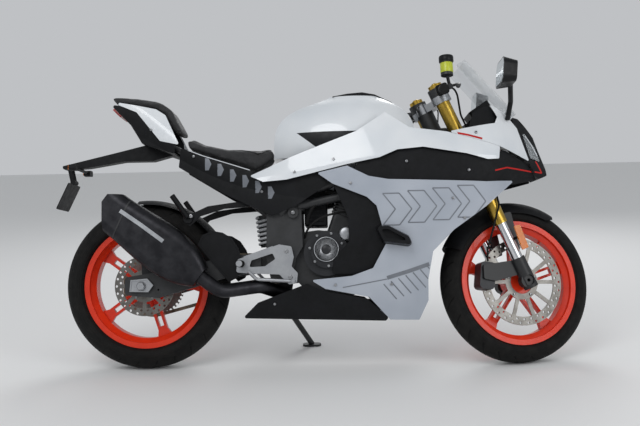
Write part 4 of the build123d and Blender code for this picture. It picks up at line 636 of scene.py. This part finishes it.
def scatterTree(name, pattern, mat):
    tree = bpy.data.node_groups.new(name, "GeometryNodeTree")
    tree.interface.new_socket("Geometry", in_out="INPUT", socket_type="NodeSocketGeometry")
    size = tree.interface.new_socket("Head radius", in_out="INPUT", socket_type="NodeSocketFloat")
    tree.interface.new_socket("Geometry", in_out="OUTPUT", socket_type="NodeSocketGeometry")
    start = node(tree, "NodeGroupInput")
    info = node(tree, "GeometryNodeObjectInfo", {"Object": pattern})
    named = node(tree, "GeometryNodeInputNamedAttribute", {"data_type": "FLOAT_VECTOR", "Name": "facing"})
    facing = node(tree, "FunctionNodeAlignRotationToVector", {"axis": "Z"}, {"Vector": named})
    laid = node(tree, "GeometryNodeInstanceOnPoints",
                links={"Points": start, "Instance": info.outputs["Geometry"],
                       "Rotation": facing, "Scale": start.outputs[1]})
    real = node(tree, "GeometryNodeRealizeInstances", links={0: laid})
    skin = node(tree, "GeometryNodeSetMaterial", {"Material": mat}, {0: real})
    node(tree, "NodeGroupOutput", links={0: skin})
    return tree, size.identifier


headPattern = bpy.data.objects.new("headPattern", headMesh())
boltTree, boltSize = scatterTree("scatterBolts", headPattern, boltSteel)


def boltSet(name, body, spots, radius):
    place = placeOf(body)
    turn = place.to_3x3().normalized()
    mesh = bpy.data.meshes.new(name)
    mesh.from_pydata([place @ Vector(spot) for spot, direction in spots], [], [])
    facing = mesh.attributes.new("facing", "FLOAT_VECTOR", "POINT")
    for i, (spot, direction) in enumerate(spots):
        facing.data[i].vector = turn @ Vector(direction)
    holder = placed(name + "Points", mesh)
    mod = holder.modifiers.new("bolts", "NODES")
    mod.node_group = boltTree
    mod[boltSize] = radius / 1000
    addPiece(name, bakedMesh(holder), boltSteel, body)


# Where a line from one side, at x and z, first meets the named pieces, and that surface's normal.
def onPanel(names, x, z, side):
    turn = chassisPlace.to_3x3().normalized()
    inward = (turn @ Vector((0, -side, 0))).normalized()
    start = chassisPlace @ Vector((x, side * tape["reach"], z))
    hit = treeOf(names).ray_cast(start, inward, tape["reach"] / 1000)
    if hit[0] is None:
        return None
    normal = hit[1] if hit[1].dot(inward) < 0 else -hit[1]
    return chassisPlace.inverted() @ hit[0], turn.inverted() @ normal


def panelSpots(listed):
    found = [onPanel([name], x, z, side) for name, x, z in listed for side in (1, -1)]
    return [spot for spot in found if spot]


panelScrews = dict(radius=5.0, spots=[
    ("lower_fairings", 760, 660), ("lower_fairings", 1120, 600), ("lower_fairings", 900, 300),
    ("lower_fairings", 700, 300), ("lower_fairings", 1160, 530), ("upper_panels", 560, 705),
    ("upper_panels", 700, 748), ("duct_panels", 960, 735), ("duct_panels", 1180, 700),
    ("side_covers", 190, 775), ("side_covers", 440, 640), ("tail_wings", 30, 880),
    ("belly_pan", 480, 235), ("upper_cowls", 1210, 835)])
boltSet("panelScrews", "chassis", panelSpots(panelScrews["spots"]), panelScrews["radius"])

frameBolts = dict(radius=7.5, spots=[("frame", 551, 562), ("frame", 505, 392), ("rearsets", 526, 423),
                                     ("rearsets", 540, 330), ("passenger_hangers", 400, 598),
                                     ("passenger_hangers", 180, 556)])
boltSet("frameBolts", "chassis", panelSpots(frameBolts["spots"]), frameBolts["radius"])

yokeBolts = dict(radius=5.5, clampAhead=(22, 50), clampAside=72, clampTop=1054, legTop=1102, stemTop=1063)
spots = []
for s in (1, -1):
    spots += [(onSteering(ahead, s * yokeBolts["clampAside"], yokeBolts["clampTop"]), steerAxis)
              for ahead in yokeBolts["clampAhead"]]
    spots.append((onSteering(forkLeg["ahead"], s * forkLeg["apart"], yokeBolts["legTop"]), steerAxis))
spots.append((onSteering(0, 0, yokeBolts["stemTop"]), steerAxis))
boltSet("yokeBolts", "steering", spots, yokeBolts["radius"])


def boltRing(tyre, ring, face, start=0.0, count=5):
    x, _, z = tyre["axle"]
    outward = (0, math.copysign(1, face), 0)
    return [((x + ring * math.cos(t + start), face, z + ring * math.sin(t + start)), outward)
            for t in anglesRound(count)]


discButtons = dict(radius=5.0, frontRing=56, frontFace=-60.5, rearRing=50, rearFace=-86.5, start=0.3,
                   sprocketRing=62, sprocketFace=91)
boltSet("frontDiscBolts", "front_wheel",
        boltRing(frontTyre, discButtons["frontRing"], discButtons["frontFace"], discButtons["start"]),
        discButtons["radius"])
boltSet("rearHubBolts", "rear_wheel",
        boltRing(rearTyre, discButtons["rearRing"], discButtons["rearFace"], discButtons["start"])
        + boltRing(rearTyre, discButtons["sprocketRing"], discButtons["sprocketFace"]), discButtons["radius"])

engineSides = ["engine_covers", "engine"]
casingBolts = dict(radius=5.0, middle=(669, 428), ring=60, count=7, start=0.4)
spots = []
for s in (1, -1):
    for t in anglesRound(casingBolts["count"], casingBolts["start"]):
        x = casingBolts["middle"][0] + casingBolts["ring"] * math.cos(t)
        z = casingBolts["middle"][1] + casingBolts["ring"] * math.sin(t)
        found = onPanel(engineSides, x, z, s)
        if found:
            spots.append((found[0], (0, s, 0)))
boltSet("casingBolts", "chassis", spots, casingBolts["radius"])
print("bolts set")


# Seats: the cushion swells inside its cover and is smoothed; its piping comes after.
cushions = {
    "rider_seat": dict(voxel=0.006, shrink=0.0035, cap=0.008, fill=0.7, piece="riderCushion"),
    "pillion_seat": dict(voxel=0.005, shrink=0.0025, cap=0.007, fill=0.7, piece="pillionCushion"),
}
swelling = dict(pressure=4.0, quality=6, stiffness=25, frames=20, smoothings=3, smoothing=0.4)


def swell(piece, cap):
    start = [v.co.copy() for v in piece.data.vertices]
    cloth = piece.modifiers.new("cloth", "CLOTH")
    cloth.settings.use_pressure = True
    cloth.settings.uniform_pressure_force = swelling["pressure"]
    cloth.settings.effector_weights.gravity = 0.0
    cloth.settings.quality = swelling["quality"]
    cloth.settings.tension_stiffness = swelling["stiffness"]
    cloth.settings.compression_stiffness = swelling["stiffness"]
    cloth.collision_settings.use_collision = False
    cloth.point_cache.frame_start = 1
    cloth.point_cache.frame_end = swelling["frames"]
    for frameNumber in range(1, swelling["frames"] + 1):
        scene.frame_set(frameNumber)
    grown = piece.evaluated_get(bpy.context.evaluated_depsgraph_get())
    moved = [v.co.copy() for v in grown.data.vertices]
    piece.modifiers.remove(cloth)
    for v, before, after in zip(piece.data.vertices, start, moved):
        away = after - before
        if away.length > cap:
            away *= cap / away.length
        v.co = before + away
    scene.frame_set(1)


def makeCushion(name, settings):
    mesh = nodes[name].data.copy()
    piece = placed(settings["piece"], mesh)
    bm = bmesh.new()
    bm.from_mesh(mesh)
    bmesh.ops.remove_doubles(bm, verts=bm.verts, dist=1e-5)
    bmesh.ops.recalc_face_normals(bm, faces=bm.faces)
    bm.normal_update()
    for v in bm.verts:
        v.co -= v.normal * settings["shrink"]
    bm.to_mesh(mesh)
    bm.free()
    bpy.context.view_layer.objects.active = piece
    for other in bpy.context.selected_objects:
        other.select_set(False)
    piece.select_set(True)
    remesh = piece.modifiers.new("remesh", "REMESH")
    remesh.mode = "VOXEL"
    remesh.voxel_size = settings["voxel"]
    bpy.ops.object.modifier_apply(modifier=remesh.name)
    swell(piece, settings["cap"])
    bm = bmesh.new()
    bm.from_mesh(piece.data)
    for _ in range(swelling["smoothings"]):
        bmesh.ops.smooth_vert(bm, verts=bm.verts, factor=swelling["smoothing"],
                              use_axis_x=True, use_axis_y=True, use_axis_z=True)
    bm.to_mesh(piece.data)
    bm.free()
    for face in piece.data.polygons:
        face.use_smooth = True
    piece.data.materials.clear()
    piece.data.materials.append(seatVinyl)
    fine = piece.modifiers.new("fine", "SUBSURF")
    fine.levels = 1
    fine.render_levels = 1
    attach(piece, "chassis")
    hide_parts(name)


for name, settings in cushions.items():
    makeCushion(name, settings)
    print("cushion swelled:", name)

# Piping where the seats' panels meet: a path along each side, and one across the rear or none.
piping = dict(thick=1.6, step=6.0, above=1150, seams=[
    ("riderSeam", "riderCushion", 2.6, [(250, 62), (330, 76), (420, 70), (468, 46)],
     [[(250, -62), (236, -30), (232, 0), (236, 30), (250, 62)]]),
    ("pillionSeam", "pillionCushion", 2.4, [(-110, 36), (-20, 44), (70, 40)], []),
])
for name, over, width, sidePath, rear in piping["seams"]:
    lines = [ribbon(path, width) for path in [[(x, s * y) for x, y in sidePath] for s in (-1, 1)] + rear]
    layTape(name, [over], sheet((0, 0, piping["above"]), (1, 0, 0), (0, 1, 0), lines), gripRubber,
            thick=piping["thick"], step=piping["step"])

# Reservoir: a lime band of fluid behind the wall and a black screw cap over it.
reservoir = dict(base=(1052, -222, 1013), band=[(22.3, 10), (22.9, 12), (22.9, 44), (22.3, 46)],
                 cap=[(25.3, 51), (26.2, 52.5), (26.2, 69), (24.0, 72.6), (8.0, 73.4), (6.0, 72.9)])
reservoirPlace = placeOf("steering") @ Matrix.Translation(reservoir["base"])
addPiece("reservoirBand", latheMesh(reservoir["band"], reservoirPlace), limeFluid, "steering")
addPiece("reservoirCap", latheMesh(reservoir["cap"], reservoirPlace), satinAbs, "steering")

# Fork caps with a slotted adjuster.
forkTops = dict(height=1100, profile=[(14, -2), (14, 3), (12.5, 4), (9, 4), (8.5, 6.5), (2, 6.5)])
for s, side in sideNames.items():
    start = onSteering(forkLeg["ahead"], s * forkLeg["apart"], forkTops["height"])
    cap = latheMesh(forkTops["profile"], facingPlace("steering", start, steerAxis))
    addPiece("forkCap" + side, cap, goldAnodised, "steering")

# Hoses and looms that show round the engine, each held at both ends.
runs = {
    "coolantHose": dict(path=[(842, -96, 560), (820, -118, 590), (770, -128, 612), (712, -120, 628),
                              (672, -96, 640)], radius=11),
    "breatherHose": dict(path=[(600, -104, 520), (606, -128, 560), (636, -134, 600), (676, -124, 622)],
                         radius=6),
    "loom": dict(path=[(590, -96, 470), (596, -122, 500), (640, -132, 540), (700, -130, 560),
                       (760, -110, 566)], radius=4),
    "rearBrakeHose": dict(path=[(40, -112, 384), (90, -120, 366), (200, -122, 352), (320, -124, 356),
                                (430, -120, 384)], radius=3.2),
}
for name, run in runs.items():
    curve = bpy.data.curves.new(name, "CURVE")
    curve.dimensions = "3D"
    line = curve.splines.new("NURBS")
    line.points.add(len(run["path"]) - 1)
    for point, spot in zip(line.points, run["path"]):
        point.co = (*spot, 1)
    line.order_u = 3
    line.use_endpoint_u = True
    points = [v.co for v in bakedMesh(placed(name + "Path", curve)).vertices]
    addPiece(name, tubeMesh(points, run["radius"], chassisPlace, 14), gripRubber, "chassis")

# Starter motor beside the crankcase: a finned barrel that looks out to the right.
starter = dict(start=(742, -62, 484), radius=26, length=74, grooves=5, first=16, step=8, deep=2.5)
r, length = starter["radius"], starter["length"]
profile = [(8, 0), (r - 2, 0), (r, 3)]
for i in range(starter["grooves"]):
    along, floorOf = starter["first"] + i * starter["step"], r - starter["deep"]
    profile += [(r, along), (floorOf, along + 1.5), (floorOf, along + 5), (r, along + 6.5)]
profile += [(r, length - 4), (r - 6, length), (6, length)]
addPiece("starterMotor", latheMesh(profile, facingPlace("chassis", starter["start"], (0, -1, 0))),
         castAluminium, "chassis")

# Coil springs of the side stand and the shock absorber.
springs = {
    "standSpring": dict(start=(470, 150, 252), end=(420, 128, 300), radius=7.0, wire=1.6, turns=14),
    "shockSpring": dict(start=(451, 0, 452), end=(439, 0, 558), radius=33.5, wire=5.0, turns=6.5),
}


def coilPoints(coil, steps=22):
    start, end = Vector(coil["start"]), Vector(coil["end"])
    ahead = (end - start).normalized()
    across = ahead.orthogonal().normalized()
    other = ahead.cross(across)
    count = int(coil["turns"] * steps)
    return [start + (end - start) * (i / count) + (across * math.cos(2 * math.pi * i / steps)
            + other * math.sin(2 * math.pi * i / steps)) * coil["radius"] for i in range(count + 1)]


for name, coil in springs.items():
    addPiece(name, tubeMesh(coilPoints(coil), coil["wire"], chassisPlace, 10), paleEnamel, "chassis")

# Ribbed rubber over the rider's pegs.
pegs = dict(spot=(365, 380), start=172, end=244, radius=12.0, sunk=1.2, ribs=19, deep=0.9)
pegLength = pegs["end"] - pegs["start"]
profile = [(pegs["radius"] - pegs["sunk"], 0.0)]
for i in range(pegs["ribs"]):
    low = pegLength * (i + 0.15) / pegs["ribs"]
    high = pegLength * (i + 0.85) / pegs["ribs"]
    crest = pegs["radius"] + pegs["deep"]
    profile += [(pegs["radius"], low), (crest, low + 1), (crest, high - 1), (pegs["radius"], high)]
profile.append((pegs["radius"] - pegs["sunk"], pegLength))
for s, side in sideNames.items():
    x, z = pegs["spot"]
    place = facingPlace("chassis", (x, s * pegs["start"], z), (0, s * pegLength, 0))
    addPiece("pegRubber" + side, latheMesh(profile, place, 36), gripRubber, "chassis")

# Turned covers on the engine's casings: a stepped cap with a bare metal rim, and the oil filler.
covers = dict(
    clutchCap=dict(spot=(669, 428), radius=47, height=5.0, sides=(-1, 1)),
    oilFiller=dict(spot=(742, 352), radius=15, height=9.0, sides=(-1,)),
)
for name, cover in covers.items():
    for s in cover["sides"]:
        place = facingPlace("chassis", onPanel(engineSides, *cover["spot"], s)[0], (0, s, 0))
        r, top = cover["radius"], cover["height"]
        profile = [(r, -2), (r, top * 0.5), (r - 1.5, top * 0.8), (r * 0.82, top * 0.8),
                   (r * 0.78, top * 0.5), (r * 0.4, top * 0.5), (r * 0.36, top), (2.0, top)]
        addPiece(name + sideNames[s], latheMesh(profile, place), magnesiumPaint, "chassis")
        if name == "clutchCap":
            rim = [(r - 5, top * 0.8), (r - 5, top + 0.9), (r - 2, top + 0.9), (r - 2, top * 0.8)]
            addPiece("coverRim" + sideNames[s], latheMesh(rim, place), castAluminium, "chassis")


# Plate with a raised rim: an upright outline, as thick as given, its middle sunk inside the rim.
def rimmedPlate(plate, s):
    bm = bmesh.new()
    face = bm.faces.new([bm.verts.new((x, s * plate["inner"], z)) for x, z in plate["outline"]])
    grown = bmesh.ops.extrude_face_region(bm, geom=[face])
    raised = [g for g in grown["geom"] if isinstance(g, bmesh.types.BMVert)]
    bmesh.ops.translate(bm, vec=(0, s * plate["thick"], 0), verts=raised)
    top = [g for g in grown["geom"] if isinstance(g, bmesh.types.BMFace)]
    bmesh.ops.recalc_face_normals(bm, faces=bm.faces)
    bmesh.ops.inset_individual(bm, faces=top, thickness=plate["rim"], depth=0.0)
    bmesh.ops.inset_individual(bm, faces=top, thickness=plate["slope"], depth=-plate["sunk"])
    bmesh.ops.recalc_face_normals(bm, faces=bm.faces)
    return meshOf(bm, chassisPlace)


# Chain adjusters at the swingarm's ends, each with the axle's washer and nut over it, and moulded
# heel guards behind the foot brackets, over the swingarm's sides.
adjusters = dict(outline=[(-42, 286), (-38, 328), (22, 333), (44, 309), (26, 284)], inner=140.5, thick=6.5,
                 rim=6.0, slope=0.6, sunk=3.0)
heelGuards = dict(outline=[(206, 452), (222, 486), (258, 501), (296, 494), (328, 474), (352, 438),
                           (362, 404), (358, 356), (346, 330), (318, 316), (286, 352), (240, 408)],
                  inner=145.0, thick=3.2, rim=7.0, slope=0.6, sunk=1.0)
axleNuts = dict(face=144, across=27, shoulder=4, thick=12, bevel=2, bore=8.1, washer=15, flange=16.74,
                washerThick=2.5)
flat, bore = axleNuts["across"] / 2, axleNuts["bore"]
point = flat * 2 / math.sqrt(3)
low, high = axleNuts["washerThick"], axleNuts["thick"] + axleNuts["bevel"]
washer = [(axleNuts["washer"], 0), (axleNuts["washer"], low), (axleNuts["flange"], low), (bore, low)]
hexagon = [(flat * 1.1, low - 0.1), (point, axleNuts["shoulder"]), (point, axleNuts["thick"]), (flat, high),
           (bore, high)]
for s, side in sideNames.items():
    addPiece("chainAdjuster" + side, rimmedPlate(adjusters, s), castAluminium, "chassis")
    addPiece("heelGuard" + side, rimmedPlate(heelGuards, s), blackAbs, "chassis")
    bm = bmesh.new()
    bm.from_mesh(latheMesh(washer, sides=36))
    bm.from_mesh(latheMesh(hexagon, sides=6))
    place = facingPlace("chassis", (0, s * axleNuts["face"], rearTyre["axle"][2]), (0, s, 0))
    addPiece("axleNut" + side, meshOf(bm, place), castAluminium, "chassis")

# Foot brackets: the cast arms alone, cut free along their upper edge.
footBrackets = dict(edge=[(350, 399), (500, 451)])
bm = bmesh.new()
bm.from_mesh(nodes["rearsets"].data)
bmesh.ops.remove_doubles(bm, verts=bm.verts, dist=0.00001)
first, second = (Vector((x, 0, z)) for x, z in footBrackets["edge"])
upward = chassisPlace.to_3x3() @ Vector((first.z - second.z, 0, second.x - first.x))
cut = bmesh.ops.bisect_plane(bm, geom=list(bm.verts) + list(bm.edges) + list(bm.faces), dist=0.000001,
                             plane_co=chassisPlace @ first, plane_no=upward.normalized(), clear_outer=True)
bmesh.ops.holes_fill(bm, edges=[g for g in cut["geom_cut"] if isinstance(g, bmesh.types.BMEdge)])
bmesh.ops.recalc_face_normals(bm, faces=bm.faces)
addPiece("footBrackets", meshOf(bm), castAluminium, "chassis",
         standsFor=["rearsets"])


def addBlock(bm, low, high, bevel, segments):
    block = bmesh.new()
    bmesh.ops.create_cube(block, size=1.0)
    for v in block.verts:
        v.co = Vector([(a + b) / 2 + c * (b - a) for a, b, c in zip(low, high, v.co)])
    bmesh.ops.bevel(block, geom=block.edges, offset=bevel, segments=segments, profile=0.7, affect="EDGES")
    mesh = bpy.data.meshes.new("block")
    block.to_mesh(mesh)
    block.free()
    bm.from_mesh(mesh)


# Air box behind the cylinder, ribbed on its sides, with a throttle body from it to each inlet.
airBox = dict(low=(590, -80, 516), high=(674, 80, 732), bevel=9, ribs=13, ribInset=14, ribFirst=16,
              ribStep=14, ribHigh=3.0, ribWide=4, ribRoot=0.5)
bm = bmesh.new()
addBlock(bm, airBox["low"], airBox["high"], airBox["bevel"], 3)
for i in range(airBox["ribs"]):
    z = airBox["low"][2] + airBox["ribFirst"] + i * airBox["ribStep"]
    for s in (1, -1):
        root = airBox["high"][1] * s
        crest = root + s * airBox["ribHigh"]
        addBlock(bm, (airBox["low"][0] + airBox["ribInset"], min(root, crest) - airBox["ribRoot"], z),
                 (airBox["high"][0] - airBox["ribInset"], max(root, crest), z + airBox["ribWide"]), 1.0, 1)
addPiece("airBox", meshOf(bm, chassisPlace), blackAbs, "chassis")

throttles = dict(start=(674, 652), end=(742, 644), apart=44, radius=24)
for s, side in sideNames.items():
    start, end = (Vector((x, s * throttles["apart"], z)) for x, z in (throttles["start"], throttles["end"]))
    length = (end - start).length
    r = throttles["radius"]
    profile = [(r, -2), (r + 3, 2), (r + 3, 8), (r, 12), (r, 20), (r + 5, 22), (r + 5, 30), (r, 32),
               (r, length - 12), (r + 4, length - 9), (r + 4, length - 3), (r, length)]
    addPiece("throttleBody" + side, latheMesh(profile, facingPlace("chassis", start, end - start)),
             castAluminium, "chassis")

# Blank plate on the plate holder, its corners round and its edge raised.
plateBlank = dict(foot=(-333, 0, 597), head=(-287, 0, 694), width=142, height=100, corner=7, border=4.0,
                  pressed=0.6, sunk=0.2, thick=1.2)
plateFoot, plateHead = Vector(plateBlank["foot"]), Vector(plateBlank["head"])
up = (plateHead - plateFoot).normalized()
out = Vector((-up.z, 0, up.x))
middle = (plateFoot + plateHead) / 2 + out * plateBlank["sunk"]
bm = bmesh.new()
face = bm.faces.new([bm.verts.new(middle + Vector((0, 1, 0)) * x + up * y) for x, y in
                     roundedCorners(plateBlank["width"], plateBlank["height"], plateBlank["corner"], 15, 7)])
bmesh.ops.inset_individual(bm, faces=[face], thickness=plateBlank["border"], depth=plateBlank["pressed"])
thicken(addPiece("plateFace", meshOf(bm, chassisPlace), blankPlate, "chassis"), plateBlank["thick"])
print("small pieces made")

# The camera stands off the right side, a little above the tank, and looks slightly down.
view = dict(place=(0.0468, -3.4039, 0.8996), lens=49.84, yaw=1.043, down=5.825, roll=1.265)
camera = placed("camera", bpy.data.cameras.new("camera"))
turn = (Matrix.Rotation(math.radians(view["yaw"]), 3, "Z")
        @ Matrix.Rotation(math.radians(-view["down"]), 3, "X")
        @ Matrix.Rotation(math.radians(view["roll"]), 3, "Y"))
right, ahead, upward = turn.col[0], turn.col[1], turn.col[2]
look = Matrix((right, upward, -ahead)).transposed().to_4x4()
camera.matrix_world = Matrix.Translation(view["place"]) @ look
camera.data.lens = view["lens"]
camera.data.sensor_width = 36
camera.data.clip_end = 60
scene.camera = camera

studio = dict(floor="#e9e9e9", floorRough=0.85, floorHalf=14, light="#eef1f4", lightStrength=0.55,
              seen="#bfc1c4")
floorMat, tree, shader = surface("paleFloor", studio["floor"], studio["floorRough"])
floorMesh = bpy.data.meshes.new("floor")
half = studio["floorHalf"]
floorMesh.from_pydata([(-half, -half, 0), (half, -half, 0), (half, half, 0), (-half, half, 0)], [],
                      [(0, 1, 2, 3)])
floorMesh.materials.append(floorMat)
floor = placed("floor", floorMesh)

# The world lights softly; the camera and clear pieces see a plain grey wall in its place.
world = bpy.data.worlds.new("studio")
scene.world = world
world.use_nodes = True
tree = world.node_tree
tree.nodes.clear()
rays = node(tree, "ShaderNodeLightPath")
seen = node(tree, maths, {"operation": "MAXIMUM"},
            {0: rays.outputs["Is Camera Ray"], 1: rays.outputs["Is Transmission Ray"]})
light = node(tree, "ShaderNodeBackground",
             {"Color": colour(studio["light"]), "Strength": studio["lightStrength"]})
back = node(tree, "ShaderNodeBackground", {"Color": colour(studio["seen"]), "Strength": 1.0})
both = node(tree, "ShaderNodeMixShader", links={0: seen, 1: light, 2: back})
node(tree, "ShaderNodeOutputWorld", links={0: both})

lamps = [
    # name, place, aim, size, watts
    ("key", (-1.6, -3.4, 3.6), (0, 0, 0.5), 2.6, 66),
    ("fill", (2.8, -3.0, 1.9), (0.2, 0, 0.5), 2.2, 34),
    ("back", (0.6, 3.4, 3.0), (0, 0, 0.6), 2.4, 52),
]
for name, place, aim, size, watts in lamps:
    data = bpy.data.lights.new(name, "AREA")
    data.shape = "DISK"
    data.size = size
    data.energy = watts
    lamp = placed(name, data)
    lamp.location = place
    lamp.rotation_euler = (Vector(aim) - Vector(place)).to_track_quat("-Z", "Y").to_euler()

scene.view_settings.view_transform = "Standard"
print("stage set")
